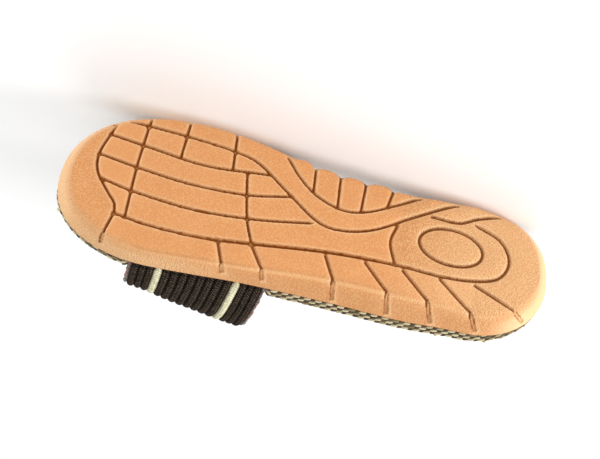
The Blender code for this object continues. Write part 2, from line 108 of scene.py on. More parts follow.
def smoothPath(points, step):
    # Points every step or so on a Catmull-Rom curve through the given ones
    given = [np.array(p, float) for p in points]
    path = []
    for i in range(len(given) - 1):
        a, b = given[i], given[i + 1]
        before = given[i - 1] if i else a - (b - a)
        after = given[i + 2] if i + 2 < len(given) else b + (b - a)
        count = max(1, round(np.linalg.norm(b - a) / step))
        for t in np.arange(count) / count:
            path.append(0.5 * (2 * a + (b - before) * t + (2 * before - 5 * a + 4 * b - after) * t * t
                               + (3 * a - before - 3 * b + after) * t ** 3))
    return np.array(path + [given[-1]])


def walked(points):
    # Distance along a polyline at each of its points
    return np.concatenate([[0.0], np.cumsum(np.linalg.norm(np.diff(points, axis=0), axis=1))])


def evenly(points, count):
    # The same polyline with count points at equal distances along it
    lengths = walked(points)
    want = np.linspace(0.0, lengths[-1], count)
    return np.stack([np.interp(want, lengths, points[:, k]) for k in range(points.shape[1])], axis=1)


def cosineSteps(count):
    # Steps from 0 to 1 that close up towards both ends
    return 0.5 - 0.5 * np.cos(np.linspace(0.0, np.pi, count))


# Mesh helpers
def newPiece(name, mesh):
    piece = bpy.data.objects.new(name, mesh)
    bpy.context.scene.collection.objects.link(piece)
    return piece


def addMarks(mesh, marks):
    # Values or directions that each point keeps, by name
    for mark, data in marks.items():
        data = np.asarray(data, np.float32)
        kind, field = ("FLOAT_VECTOR", "vector") if data.ndim == 2 else ("FLOAT", "value")
        mesh.attributes.new(mark, kind, "POINT").data.foreach_set(field, data.ravel())


def pointMesh(name, points, edges, marks):
    mesh = bpy.data.meshes.new(name)
    mesh.from_pydata(np.asarray(points).tolist(), list(edges), [])
    addMarks(mesh, marks)
    return mesh


def meshFromGrid(name, points, material, capEnds=False, marks=None):
    # A closed skin over rows of points, each row a ring
    mergeDistance = 1e-6
    rows, columns = points.shape[:2]
    i, j = np.meshgrid(np.arange(rows - 1) * columns, np.arange(columns), indexing="ij")
    k = (j + 1) % columns
    faces = np.stack([i + j, i + columns + j, i + columns + k, i + k], -1).reshape(-1, 4).tolist()
    if capEnds:
        faces += [list(range(columns)), list(range((rows - 1) * columns, rows * columns))]
    mesh = bpy.data.meshes.new(name)
    mesh.from_pydata(points.reshape(-1, 3).tolist(), [], faces)
    addMarks(mesh, marks or {})
    shape = bmesh.new()
    shape.from_mesh(mesh)
    bmesh.ops.remove_doubles(shape, verts=shape.verts, dist=mergeDistance)
    bmesh.ops.dissolve_degenerate(shape, edges=shape.edges, dist=mergeDistance)
    bmesh.ops.holes_fill(shape, edges=[edge for edge in shape.edges if edge.is_boundary])
    bmesh.ops.recalc_face_normals(shape, faces=shape.faces)
    shape.to_mesh(mesh)
    shape.free()
    mesh.shade_smooth()
    mesh.materials.append(material)
    print(name + ":", len(mesh.polygons), "faces")
    return mesh


# Node helpers
def feed(tree, socket, value):
    # Links a socket to another one, or sets its own value
    if isinstance(value, bpy.types.NodeSocket):
        tree.links.new(value, socket)
    else:
        socket.default_value = value


def put(tree, kind, inputs=None, output=0, **settings):
    # Adds a node, feeds its inputs by name or number, and gives back one of its outputs
    node = tree.nodes.new(kind)
    for key, value in settings.items():
        setattr(node, key, value)
    for key, value in (inputs or {}).items():
        feed(tree, node.inputs[key], value)
    return node.outputs[output]


def mathNode(tree, operation, *values):
    return put(tree, "ShaderNodeMath", dict(enumerate(values)), operation=operation)


def times(tree, first, second):
    return mathNode(tree, "MULTIPLY", first, second)


def scaled(tree, vector, factor):
    return put(tree, "ShaderNodeVectorMath", {0: vector, "Scale": factor}, operation="SCALE")


def mapRange(tree, value, low, high, toLow=0.0, toHigh=1.0, **settings):
    return put(tree, "ShaderNodeMapRange", {"Value": value, "From Min": low, "From Max": high,
                                            "To Min": toLow, "To Max": toHigh}, **settings)


def namedValue(tree, name):
    return put(tree, "GeometryNodeInputNamedAttribute", {"Name": name}, "Attribute", data_type="FLOAT")


def namedVector(tree, name):
    return put(tree, "GeometryNodeInputNamedAttribute", {"Name": name}, "Attribute", data_type="FLOAT_VECTOR")


def storeValue(tree, geometry, name, value, kind="FLOAT"):
    return put(tree, "GeometryNodeStoreNamedAttribute", {"Geometry": geometry, "Name": name, "Value": value},
               data_type=kind, domain="POINT")


def newShapeTree(name, inputs):
    tree = bpy.data.node_groups.new(name, "GeometryNodeTree")
    tree.interface.new_socket("Geometry", in_out="INPUT", socket_type="NodeSocketGeometry")
    for label, kind in inputs:
        tree.interface.new_socket(label, in_out="INPUT", socket_type="NodeSocket" + kind)
    tree.interface.new_socket("Geometry", in_out="OUTPUT", socket_type="NodeSocketGeometry")
    return tree, tree.nodes.new("NodeGroupInput").outputs


def endShapeTree(tree, geometry, material):
    whole = put(tree, "GeometryNodeRealizeInstances", {"Geometry": geometry})
    smooth = put(tree, "GeometryNodeSetShadeSmooth", {"Geometry": whole})
    finished = put(tree, "GeometryNodeSetMaterial", {"Geometry": smooth, "Material": material})
    feed(tree, tree.nodes.new("NodeGroupOutput").inputs[0], finished)
    return tree


def grow(name, source, tree, values):
    # Runs a tree on a mesh of points or lines and keeps the result as a plain mesh
    piece = newPiece(name, source)
    modifier = piece.modifiers.new(tree.name, "NODES")
    modifier.node_group = tree
    for item in tree.interface.items_tree:
        if item.in_out == "INPUT" and item.name in values:
            modifier[item.identifier] = values[item.name]
    evaluated = piece.evaluated_get(bpy.context.evaluated_depsgraph_get())
    mesh = bpy.data.meshes.new_from_object(evaluated)
    piece.modifiers.clear()
    piece.data = mesh
    mesh.name = name
    corners = np.empty(len(mesh.vertices) * 3, np.float32)
    mesh.vertices.foreach_get("co", corners)
    mesh.vertices.foreach_set("co", onFloor(corners.reshape(-1, 3)).ravel())
    mesh.update()
    print(name + ":", len(mesh.polygons), "faces")
    return piece


# Shared finishes
def newGroup(name, inputs, output):
    group = bpy.data.node_groups.new(name, "ShaderNodeTree")
    group.interface.new_socket("Vector", in_out="INPUT", socket_type="NodeSocketVector")
    for label, value in inputs:
        socket = group.interface.new_socket(label, in_out="INPUT", socket_type="NodeSocketFloat")
        socket.default_value = value
    group.interface.new_socket(output, in_out="OUTPUT", socket_type="NodeSocketFloat")
    given, out = group.nodes.new("NodeGroupInput"), group.nodes.new("NodeGroupOutput")
    return group, given.outputs, out.inputs[output]


def makeMottleGroup():
    # Slow drifts of tone that every moulded or woven piece has
    group, given, out = newGroup("mottle", [("Scale", 40.0), ("Low", 0.9), ("High", 1.08)], "Tone")
    noise = put(group, "ShaderNodeTexNoise",
                {"Vector": given["Vector"], "Scale": given["Scale"], "Detail": 3.0})
    feed(group, out, mapRange(group, noise, 0.3, 0.7, given["Low"], given["High"]))
    return group


def makePebbleGroup():
    # Rounded pebbles of a leather-like moulded grain
    group, given, out = newGroup("pebbleGrain", [("Scale", 900.0)], "Height")
    cells = put(group, "ShaderNodeTexVoronoi", {"Vector": given["Vector"], "Scale": given["Scale"],
                                                "Smoothness": 0.35, "Randomness": 0.8}, "Distance",
                feature="SMOOTH_F1")
    feed(group, out, mathNode(group, "SUBTRACT", 1.0, cells))
    return group


def makeFibreGroup():
    # Fine fibres drawn out along a strand; Vector's X runs along it
    group, given, out = newGroup("fibres", [("Stretch", 0.15), ("Scale", 8.0)], "Fibre")
    shares = put(group, "ShaderNodeCombineXYZ", {0: given["Stretch"], 1: 1.0, 2: 1.0})
    drawn = put(group, "ShaderNodeVectorMath", {0: given["Vector"], 1: shares}, operation="MULTIPLY")
    feed(group, out, put(group, "ShaderNodeTexNoise", {"Vector": drawn, "Scale": given["Scale"],
                                                       "Detail": 4.0, "Roughness": 0.65}))
    return group


mottleGroup = makeMottleGroup()
pebbleGroup = makePebbleGroup()
fibreGroup = makeFibreGroup()


def placeGroup(tree, group, vector, **values):
    return put(tree, "ShaderNodeGroup", {"Vector": vector, **values}, node_tree=group)


def newMaterial(name):
    material = bpy.data.materials.new(name)
    material.use_nodes = True
    return material, material.node_tree


def objectPlace(tree):
    return put(tree, "ShaderNodeTexCoord", output="Object")


def dress(tree, finish):
    for key, value in finish.items():
        feed(tree, tree.nodes["Principled BSDF"].inputs[key], value)


def mark(tree, name, output="Fac"):
    return put(tree, "ShaderNodeAttribute", output=output, attribute_name=name)


def bump(tree, height, distance, strength):
    return put(tree, "ShaderNodeBump", {"Height": height, "Distance": distance, "Strength": strength})


def colourRamp(tree, factor, stops):
    node = tree.nodes.new("ShaderNodeValToRGB")
    while len(node.color_ramp.elements) < len(stops):
        node.color_ramp.elements.new(0.5)
    for element, (place, colour) in zip(node.color_ramp.elements, stops):
        element.position = place
        element.color = (*colour, 1.0)
    feed(tree, node.inputs["Fac"], factor)
    return node.outputs["Color"]


def mixColour(tree, factor, first, second, blend="MIX"):
    # The mix node's colour sockets have the numbers 6 and 7, and 2 at its other end
    first, second = ((*colour, 1.0) if isinstance(colour, tuple) else colour for colour in (first, second))
    return put(tree, "ShaderNodeMix", {0: factor, 6: first, 7: second}, 2, data_type="RGBA", blend_type=blend)


# Sole: a moulded foam outsole with its tread of lugs
sole = {
    "heelRound": 42.0, "toeRound": 58.0,  # lengths of the half ovals that end heel and toe
    "toeSquareness": (2.12, 2.3), "heelSquareness": (2.0, 2.5),  # outer and inner side
    "heelUndercut": 6.0, "toeUndercut": 6.0,
    "edgeHeight": (9.0, 10.3),  # tread to rim, at heel and toe
    "crestHeight": 1.5, "crestWidth": 3.0, "crestTop": 0.1,
    "crestBend": (0.12, 0.25),  # the bend's share of the width, and its height
    "rimRound": 0.8,
    "toeSpring": 11.0, "springStart": 150.0,
    "heelRoll": 1.2, "heelRollStart": 28.0,
    "archLift": 2.0, "archCentre": 112.0, "archReach": 32.0, "archInner": 8.0, "archWidth": 22.0,
    "wallBulge": 1.25,
    "edgeRows": [(42, -40.3, 37.4), (75, -42.4, 35.4), (105, -42.4, 34.9), (130, -42.8, 36.2),
                 (160, -43.9, 41.8), (185, -45.4, 45.45), (205, -45.9, 46.25)],  # along, outer, inner
    "flareRows": [(0, 4.2, 4.0), (20, 5.6, 4.0), (50, 9.2, 4.0), (90, 9.8, 4.0), (130, 7.6, 4.0),
                  (160, 4.6, 4.0), (190, 3.8, 4.0), (230, 2.8, 4.5), (263, 3.4, 5.0)],
    "stations": 530, "treadColumns": 122, "crestColumns": 7, "wallColumns": 18, "rimColumns": 4,
    "topColumns": 7, "fineStations": 4001,
    "crestShare": 0.4, "fullWallAt": 0.5,  # how the wall's own look sets in from crest to rim
}


def rimEdges(along):
    outer, inner = smoothRows(sole["edgeRows"], along)
    middle = (outer + inner) / 2
    toeStart = shoe["lastLength"] - sole["toeRound"]
    heelShare = np.clip((sole["heelRound"] - along) / sole["heelRound"], 0.0, 1.0)
    toeShare = np.clip((along - toeStart) / sole["toeRound"], 0.0, 1.0)
    edges = []
    for edge, heelPower, toePower in zip((outer, inner), sole["heelSquareness"], sole["toeSquareness"]):
        width = ((1 - heelShare ** heelPower) ** (1 / heelPower)
                 * (1 - toeShare ** toePower) ** (1 / toePower))
        edges.append(middle + (edge - middle) * width)
    return edges


def springUp(along):
    start = sole["springStart"]
    return sole["toeSpring"] * np.maximum(0.0, (along - start) / (shoe["lastLength"] - start)) ** 2


def treadUp(along, across):
    roll = np.maximum(0.0, (sole["heelRollStart"] - along) / sole["heelRollStart"])
    arch = sole["archLift"] * ridge(along, sole["archCentre"], sole["archReach"])
    return (springUp(along) + sole["heelRoll"] * roll ** 2
            + arch * ease((across - sole["archInner"]) / sole["archWidth"]))


def rimUp(along):
    heel, toe = sole["edgeHeight"]
    return heel + (toe - heel) * along / shoe["lastLength"] + springUp(along)


def wallPoint(place, level, side):
    # Side wall: place 0 to 1 from heel to toe, level 0 at the crest and 1 at the rim; side 0 is the outer one
    place, level = np.broadcast_arrays(np.asarray(place, float), np.asarray(level, float))
    rimAlong = place * shoe["lastLength"]
    footLength = shoe["lastLength"] - sole["heelUndercut"] - sole["toeUndercut"]
    drawIn = (1 - level) ** sole["wallBulge"]
    along = rimAlong + (sole["heelUndercut"] + place * footLength - rimAlong) * drawIn
    edges = rimEdges(rimAlong)
    middle = (edges[0] + edges[1]) / 2
    straight = smoothRows(sole["edgeRows"], rimAlong)
    width = np.abs(edges[side] - middle) / ((straight[1] - straight[0]) / 2)
    flare = smoothRows(sole["flareRows"], rimAlong)[side] * drawIn * width
    across = edges[side] + (flare if side == 0 else -flare)
    crestUp = treadUp(along, across) + sole["crestHeight"]
    return np.stack([along, across, crestUp + (rimUp(along) - sole["rimRound"] - crestUp) * level], -1)


def wallPlace(along):
    return (along - sole["heelUndercut"]) / (shoe["lastLength"] - sole["heelUndercut"] - sole["toeUndercut"])


def soleStations(count):
    # Places from heel to toe at equal steps round the rim
    fine = cosineSteps(sole["fineStations"])
    outer, inner = rimEdges(fine * shoe["lastLength"])
    sideways = (np.abs(np.diff(outer)) + np.abs(np.diff(inner))) / 2
    lengths = np.concatenate([[0.0], np.cumsum(np.hypot(np.diff(fine) * shoe["lastLength"], sideways))])
    return np.interp(np.linspace(0.0, lengths[-1], count), lengths, fine)


def crestCurve(place, side, count):
    # The rounded corner from the tread to the foot of the wall
    crest = wallPoint(place, 0.0, side)
    width = np.abs(wallPoint(place, 0.0, 0)[:, 1] - wallPoint(place, 0.0, 1)[:, 1])
    corner = np.minimum(sole["crestWidth"], width / 3) * (1 if side == 0 else -1)
    start = np.stack([crest[:, 0], crest[:, 1] + corner, crest[:, 1] * 0], -1)
    start[:, 2] = treadUp(start[:, 0], start[:, 1])
    end = wallPoint(place, sole["crestTop"], side)
    bendIn, bendUp = sole["crestBend"]
    bend = np.stack([crest[:, 0], crest[:, 1] + bendIn * corner,
                     treadUp(crest[:, 0], crest[:, 1]) + bendUp], -1)
    t = np.linspace(0.0, 1.0, count)[:, None, None]
    return start * (1 - t) ** 2 + bend * 2 * t * (1 - t) + end * t ** 2


def rimCurve(along, side, count):
    edge = rimEdges(along)
    lip = np.minimum(sole["rimRound"], (edge[1] - edge[0]) / 3) * (1 if side == 0 else -1)
    turn = np.linspace(0.0, np.pi / 2, count)[:, None]
    across = edge[side] + lip * (1 - np.cos(turn))
    return np.stack([along + 0 * across, across, rimUp(along) - sole["rimRound"] * (1 - np.sin(turn))], -1)


def soleGrid():
    # Rings round the sole from heel to toe, how far each point belongs to the wall, and its level there
    place = soleStations(sole["stations"])
    along = place * shoe["lastLength"]
    crests = [crestCurve(place, side, sole["crestColumns"]) for side in (0, 1)]
    rims = [rimCurve(along, side, sole["rimColumns"]) for side in (0, 1)]
    levels = np.linspace(sole["crestTop"], 1.0, sole["wallColumns"])[1:-1]
    walls = [np.stack([wallPoint(place, level, side) for level in levels]) for side in (0, 1)]
    share = np.linspace(0.0, 1.0, sole["treadColumns"])[1:-1, None]
    across = crests[1][0][:, 1] * (1 - share) + crests[0][0][:, 1] * share
    treadAlong = crests[0][0][:, 0] + 0 * across
    tread = np.stack([treadAlong, across, treadUp(treadAlong, across)], -1)
    topShare = np.linspace(0.0, 1.0, sole["topColumns"])[1:-1, None, None]
    top = rims[0][-1] * (1 - topShare) + rims[1][-1] * topShare
    ring = [tread, crests[0], walls[0], rims[0], top, rims[1][::-1], walls[1][::-1], crests[1][::-1]]
    crestShare = sole["crestShare"] * np.linspace(0.0, 1.0, sole["crestColumns"])
    wallShares = sole["crestShare"] + (1 - sole["crestShare"]) * ease(levels / sole["fullWallAt"])
    climb = np.concatenate([crestShare, wallShares])
    rise = np.concatenate([0 * crestShare, levels])
    onTop = np.ones(sum(len(part) for part in ring[3:6]))
    wallShare, level = (np.tile(np.concatenate([np.zeros(len(tread)), side, onTop, side[::-1]]), len(place))
                        for side in (climb, rise))
    return np.concatenate(ring, axis=0).transpose(1, 0, 2), wallShare, level


# Grooves between the lugs, as (along, across) points that a smooth curve runs through
groove = {
    "floor": 0.40, "lip": 0.92, "depth": 1.6,  # half widths of a groove's floor and mouth
    "cornerBlend": 1.5,  # lugs get rounded corners where grooves meet
    "softWider": 0.15,  # grooves between soft lugs are wider
    "notchFloor": 0.76, "notchLip": 1.1, "notchDepth": 0.8,  # square notches up the wall
    "notchRunOn": 3.0, "notchBegins": (-0.8, 1.0),  # a notch sets in over this way from the crest
    "step": 2.5, "reach": 7.0, "snap": 0.2,
    "lines": {
        "ribInner": [(238, 35), (203, 32), (177, 29), (163, 25), (145, 11.5), (127, -1.4), (113, -3),
                     (97, 2.5), (80, 15), (64, 26), (54, 32)],
        "ribMidInner": [(242, 24.2), (222, 20.5), (190, 16), (157, 19.5)],
        "ribMiddle": [(246, 11), (222, 6), (194, 2.5), (166, 3.8), (143, 9.5)],
        "ribMidOuter": [(240.8, -4.2), (222, -9), (191, -12.5), (160, -10), (128.8, -3.2)],
        "ribOuter": [(230, -24), (210, -27.5), (185, -28), (158, -24.5), (119, -18), (83, -15), (60, -15),
                     (42, -13), (28, -7.5), (23, 4), (29, 15.8), (44, 22)],
        "ballBar": [(224, -25.5), (225, 6.5), (224.5, 33)],
        "waistBar": [(158, -24.5), (163, -10.5), (167, 10), (168, 17)],
        "waveInner": [(149, 34), (140, 23), (129, 14), (115, 9.5), (102, 12.5), (88, 21.5), (74, 31)],
        "heelBar": [(85, 9), (87.3, -2), (83, -15)],
        "heelStep": [(67.5, 20.3), (53, 20.5), (43, 26), (28, 32.3)],
        "toeCap": [(243, 24.5), (246, 11), (244, 0), (236.5, -11), (231, -18), (230, -24)],
    },
    "heelPad": (55.0, 4.1, 17.3, 11.0), "heelPadPoints": 49,  # centre and half sizes of the oval
    "endFade": 0.62,
    "freeEnds": ("ribMidOuter", "ribOuter", "heelStep"),
    # side, tread point along and across, along where it crosses the crest, end along, end level on the wall
    "overEdge": [(0, 230, -24, 232.5, 229.5, 0.56), (0, 175, -27.5, 170.5, 168, 0.52),
                 (0, 158, -24.5, 149.8, 148, 0.55), (0, 119.3, -20.3, 113, 112, 0.82),
                 (0, 98.3, -18.2, 84.6, 84.3, 0.83), (0, 78.3, -17.2, 63, 62, 0.84),
                 (0, 58.2, -16.8, 39.9, 39, 0.8), (0, 39.6, -15.2, 16.8, 15.4, 0.76),
                 (1, 243, 24.5, 241, 241, 0.45), (1, 224.5, 33, 224, 224, 0.45),
                 (1, 204, 18, 203.5, 203.5, 0.45), (1, 176, 17, 178, 178, 0.45),
                 (1, 132, 16.5, 133, 133, 0.9), (1, 118, 10, 119, 119, 0.9), (1, 105.5, 12, 105, 105, 0.9),
                 (1, 92, 19, 90, 90, 0.9)],
    "overShare": 0.85, "overDrop": 0.6, "notchPoints": 6,
}


def onTread(path):
    path = np.asarray(path, float)
    return np.column_stack([path, treadUp(path[:, 0], path[:, 1])])


def groovePaths():
    # Paths on the tread with how far each runs out at its end, and paths of the notches up the walls
    tread = [(onTread(smoothPath(points, groove["step"])), groove["endFade"] * (name in groove["freeEnds"]))
             for name, points in groove["lines"].items()]
    centreAlong, centreAcross, halfAlong, halfAcross = groove["heelPad"]
    turn = np.linspace(0.0, 2 * np.pi, groove["heelPadPoints"])
    oval = np.column_stack([centreAlong + halfAlong * np.cos(turn), centreAcross + halfAcross * np.sin(turn)])
    tread.append((onTread(oval), 0.0))
    notches = []
    for side, along, across, crestAlong, endAlong, endLevel in groove["overEdge"]:
        place = wallPlace(crestAlong)
        crest = wallPoint(place, 0.0, side)
        toCrest = 1 - sole["crestWidth"] / abs(crest[1] - across)
        inner = onTread([(along + (crestAlong - along) * toCrest, across + (crest[1] - across) * toCrest)])
        over = inner + (crest - (0, 0, groove["overDrop"]) - inner) * groove["overShare"]
        share = np.linspace(0.0, 1.0, groove["notchPoints"])
        wall = wallPoint(place + (wallPlace(endAlong) - place) * share, endLevel * share, side)
        onWall = wall[1:] if side else wall[1:2] + (groove["notchFloor"], 0, 0)
        tread.append((np.vstack([onTread([(along, across)]), inner, over, onWall]), groove["endFade"]))
        notches.append(wall)
    return tread, notches


def distanceToPath(points, path, fade=0.0):
    best = np.full(len(points), np.inf)
    for i, (a, b) in enumerate(zip(path[:-1], path[1:])):
        onward = b - a
        t = np.clip(((points - a) @ onward) / (onward @ onward), 0.0, 1.0)
        runOut = fade * ease(t) if i == len(path) - 2 else 0.0
        best = np.minimum(best, np.linalg.norm(points - a - t[:, None] * onward, axis=1) + runOut)
    return best


def nearPath(points, path):
    far = groove["reach"]
    return np.all((points > path.min(0) - far) & (points < path.max(0) + far), axis=1)


def distanceToGrooves(points, paths):
    far, blend = groove["reach"], groove["cornerBlend"]
    best = np.full(len(points), far)
    for path, fade in paths:
        near = nearPath(points, path)
        here = distanceToPath(points[near], path, fade)
        close = np.clip(blend - np.abs(here - best[near]), 0.0, None) / blend
        best[near] = np.minimum(np.minimum(here, best[near]) - close ** 2 * blend / 4, far)
    return best


def distanceToNotches(points, paths):
    # As above, but each notch ends square; also which points lie on the heel's side of their notch, and how
    # far up from the crest
    best = np.full(len(points), groove["reach"])
    heelward, rise = np.zeros(len(points)), np.zeros(len(points))
    for path in paths:
        near = nearPath(points, path)
        first, last = (unitVectors(step) for step in (path[1] - path[0], path[-1] - path[-2]))
        beyond = (points[near] - path[-1]) @ last + groove["notchLip"]
        runOn = groove["notchRunOn"]
        longer = np.vstack([path[0] - runOn * first, path, path[-1] + runOn * last])
        here = np.maximum(distanceToPath(points[near], longer), beyond)
        closer = here < best[near]
        best[near] = np.where(closer, here, best[near])
        heelward[near] = np.where(closer, points[near, 0] < path[2:, 0].mean(), heelward[near])
        rise[near] = np.where(closer, (points[near] - path[0]) @ first, rise[near])
    return best, heelward, rise


def snapped(points, outward, distance, measure, lines):
    # Slides the points nearest to a groove's edge lines on to them, so that the edges come out clean
    step, leastSlope = 0.05, 0.3
    near = np.where(distance < lines[-1] + groove["snap"])[0]
    slope = np.empty((len(near), 3))
    for axis in range(3):
        beside = points[near].copy()
        beside[:, axis] += step
        slope[:, axis] = (measure(beside) - distance[near]) / step
    slope -= outward[near] * np.sum(slope * outward[near], axis=1, keepdims=True)
    slope /= np.maximum(np.sum(slope ** 2, axis=1, keepdims=True), leastSlope)
    here = distance[near]
    nearest = np.array(lines)[np.argmin(np.abs(here[:, None] - lines), axis=1)]
    caught = np.abs(here - nearest) < groove["snap"]
    moved, reached = points.copy(), distance.copy()
    moved[near[caught]] += (slope * (nearest - here)[:, None])[caught]
    reached[near[caught]] = nearest[caught]
    return moved, reached


# Zones of the tread; a pair of places is where something sets in and where it is full
zones = {
    "toeLine": ([-24, -18, -11, 0, 11, 24.5], [230, 231, 236.5, 244, 246, 243]),  # across, along
    "ribLine": ([83, 119, 158, 185, 210, 230], [-15, -18, -24.5, -28, -27.5, -24]),  # along, across
    "ballLine": 224.5, "heelSide": (-15, 40),
    "grainOutside": 0.45, "grainMiddle": 0.5, "grainToeLugs": 0.25, "grainToeCap": 0.65,
    "grainHeel": (92, 80), "grainHeelSide": 0.6,
    "softHeel": (100, 80), "softOutside": (200, 170),
}


def treadZones(points):
    # How strongly each part of the sole is pebbled, and how soft its lugs are: both least in the forefoot
    along, across = points[:, 0], points[:, 1]
    toeLine = np.interp(across, *zones["toeLine"])
    outside = across < np.interp(along, *zones["ribLine"])
    grain = np.where(outside, zones["grainOutside"], zones["grainMiddle"])
    grain = np.where((along > zones["ballLine"]) & (along < toeLine), zones["grainToeLugs"], grain)
    grain = np.where(along > toeLine, zones["grainToeCap"], grain)
    heelAcross, heelAlong = zones["heelSide"]
    heelSide = (across < heelAcross) & (along > heelAlong)
    heelGrain = np.where(heelSide, zones["grainHeelSide"], 1.0)
    grain = np.maximum(grain, ramp(along, *zones["grainHeel"]) * heelGrain)
    soft = np.maximum(ramp(along, *zones["softHeel"]), outside * ramp(along, *zones["softOutside"]))
    return grain, soft


def readSole():
    # The plain sole, with how each of its points lies to the wall, the grooves and the notches
    grid, wallShare, level = soleGrid()
    byRow, byColumn = np.gradient(grid, axis=0), np.gradient(grid, axis=1)
    ringward = np.roll(grid, -1, axis=1) - np.roll(grid, 1, axis=1)
    outward = unitVectors(np.cross(byRow, ringward)).reshape(-1, 3)
    points = grid.reshape(-1, 3)
    treadPaths, notchPaths = groovePaths()

    def toGroove(places):
        return distanceToGrooves(places, treadPaths) * (1 - groove["softWider"] * treadZones(places)[1])

    def toNotch(places):
        return distanceToNotches(places, notchPaths)[0]

    between = toGroove(points)
    leastStep = 0.01
    toeward, lateral = ((slope / np.maximum(np.linalg.norm(step, axis=2), leastStep)).ravel() for slope, step
                        in zip(np.gradient(between.reshape(grid.shape[:2])), (byRow, byColumn)))
    notch, heelward, rise = distanceToNotches(points, notchPaths)
    points, notch = snapped(points, outward, notch, toNotch, (groove["notchFloor"], groove["notchLip"]))
    points, between = snapped(points, outward, between, toGroove, (groove["floor"], groove["lip"]))
    grain, soft = treadZones(points)
    begun = ramp(rise, *groove["notchBegins"])
    square = begun * (1 - ramp(notch, groove["notchFloor"], groove["notchLip"]))
    return {"shape": grid.shape, "points": points, "outward": outward, "wallShare": wallShare, "level": level,
            "between": between, "toeward": toeward, "lateral": lateral, "notch": notch, "heelward": heelward,
            "begun": begun, "square": square, "grain": grain, "soft": soft}


# Rounding of the lugs; their ends bulge at the arch's edge
lugs = {
    "crown": (0.24, 0.85), "crownReach": (1.1, 2.8),  # lugs fall away towards their edges, fore and rear
    "crownFade": (4.2, 6.9),
    "bulge": 1.5, "bulgeFrom": (0.4, 6.4), "bulgeFall": 0.25, "bulgeFront": (147, 139),
    "bulgeRear": (84, 90), "bulgeEase": (150, 140), "bulgeLeast": 0.55,
    "bulgeWall": 0.3, "bulgeLevel": (0.88, 1.0),
}


def lugDepth(at):
    along, across = at["points"][:, 0], at["points"][:, 1]
    between, soft = at["between"], at["soft"]
    least = lugs["bulgeLeast"]
    bulge = ramp(along, *lugs["bulgeRear"]) * (least + (1 - least) * ramp(along, *lugs["bulgeEase"]))
    bulge = bulge * (across > 0) * ease(at["wallShare"] / lugs["bulgeWall"])
    bulge = bulge * (1 - ramp(at["level"], *lugs["bulgeLevel"]))
    fall, reach = (fore + (rear - fore) * soft for fore, rear in (lugs["crown"], lugs["crownReach"]))
    crown = (fall + lugs["bulgeFall"] * bulge) * np.exp(-np.maximum(between - groove["lip"], 0.0) / reach)
    crown = crown * (1 - ramp(between, *lugs["crownFade"]))
    hollow = 1 - ramp(between, groove["floor"], groove["lip"])
    depth = np.maximum(hollow * groove["depth"] + crown, at["square"] * groove["notchDepth"])
    inside, middle = lugs["bulgeFrom"]
    arc = 1 - (1 - np.clip((between - inside) / (middle - inside), 0.0, 1.0)) ** 2
    return depth - lugs["bulge"] * bulge * ramp(along, *lugs["bulgeFront"]) * arc


# Tones of the foam, over the sole and in its finish, among them painted shade in the hollows and painted
# highlights on edges and ends
foam = {
    "crossing": 0.3, "crossingPaler": 0.65, "softPaler": 0.12, "lengthwise": 0.5, "lengthwiseWider": 0.18,
    "notchLine": 0.04, "notchShade": (0.9, 0.4),  # painted shade lines on a notch's toe and heel side
    "notchFloorShade": 0.2,
    # a painted shade line along the outer crest
    "crestLine": (0.2, 0.07), "crestRear": (60, 90), "crestFront": 215, "crestShade": 0.22,
    "litSoft": (0.8, 0.6), "litFirm": 0.7,  # painted highlight on lips that face the light
    "lip": (0.55, 0.3), "lipSoft": (-0.2, 0.4), "lipAt": 0.35, "lipWidth": 0.45,
    "notchLip": 0.6, "notchLipAt": 0.7,
    "heelEnd": (34, 8), "toeEnd": (238, 256), "toeEndShare": 0.9,
    "wallGrain": 0.5, "endGrain": 0.4, "frontGrain": 0.45, "frontGrainAt": (165, 195),
    # painted highlights on the heel and toe ends, the front of the wall and the outer crest ridge, and
    # painted sheen on the heel's tread
    "endHighlight": 0.9, "heelSheen": 0.36, "heelPaleAt": (95, 40), "frontHighlight": 0.6, "frontAt": (150, 210),
    "ridgeHighlight": 0.4, "ridgeLine": (0.34, 0.12), "ridgeRear": (12, 32), "frontLessTint": 0.6,
    # the deep colour is painted shade in the hollows, the edge colour a painted highlight, and the pit and
    # grain colours painted shade and painted highlight on the pebble grain
    "colour": (0.700, 0.300, 0.104), "paleColour": (0.732, 0.328, 0.122), "hollowShadeColour": (0.245, 0.062, 0.002),
    "highlightColour": (0.88, 0.56, 0.29), "peakHighlightColour": (0.84, 0.50, 0.21), "pitShadeColour": (0.46, 0.165, 0.040),
    "wallTint": (0.88, 0.94, 1.04),
    # pebble tops get a painted highlight and their pits painted shade, over the grain's real bump
    "mottleScale": 55.0, "pebbleScale": 900.0, "pebblePeak": (0.42, 0.72), "peakHighlight": 0.5, "pitShade": 0.3,
    "hollowPower": 1.2, "hollowRougher": 0.5, "roughness": (0.50, 0.40), "specular": 0.25,
    "grainHeight": 0.0008,
}


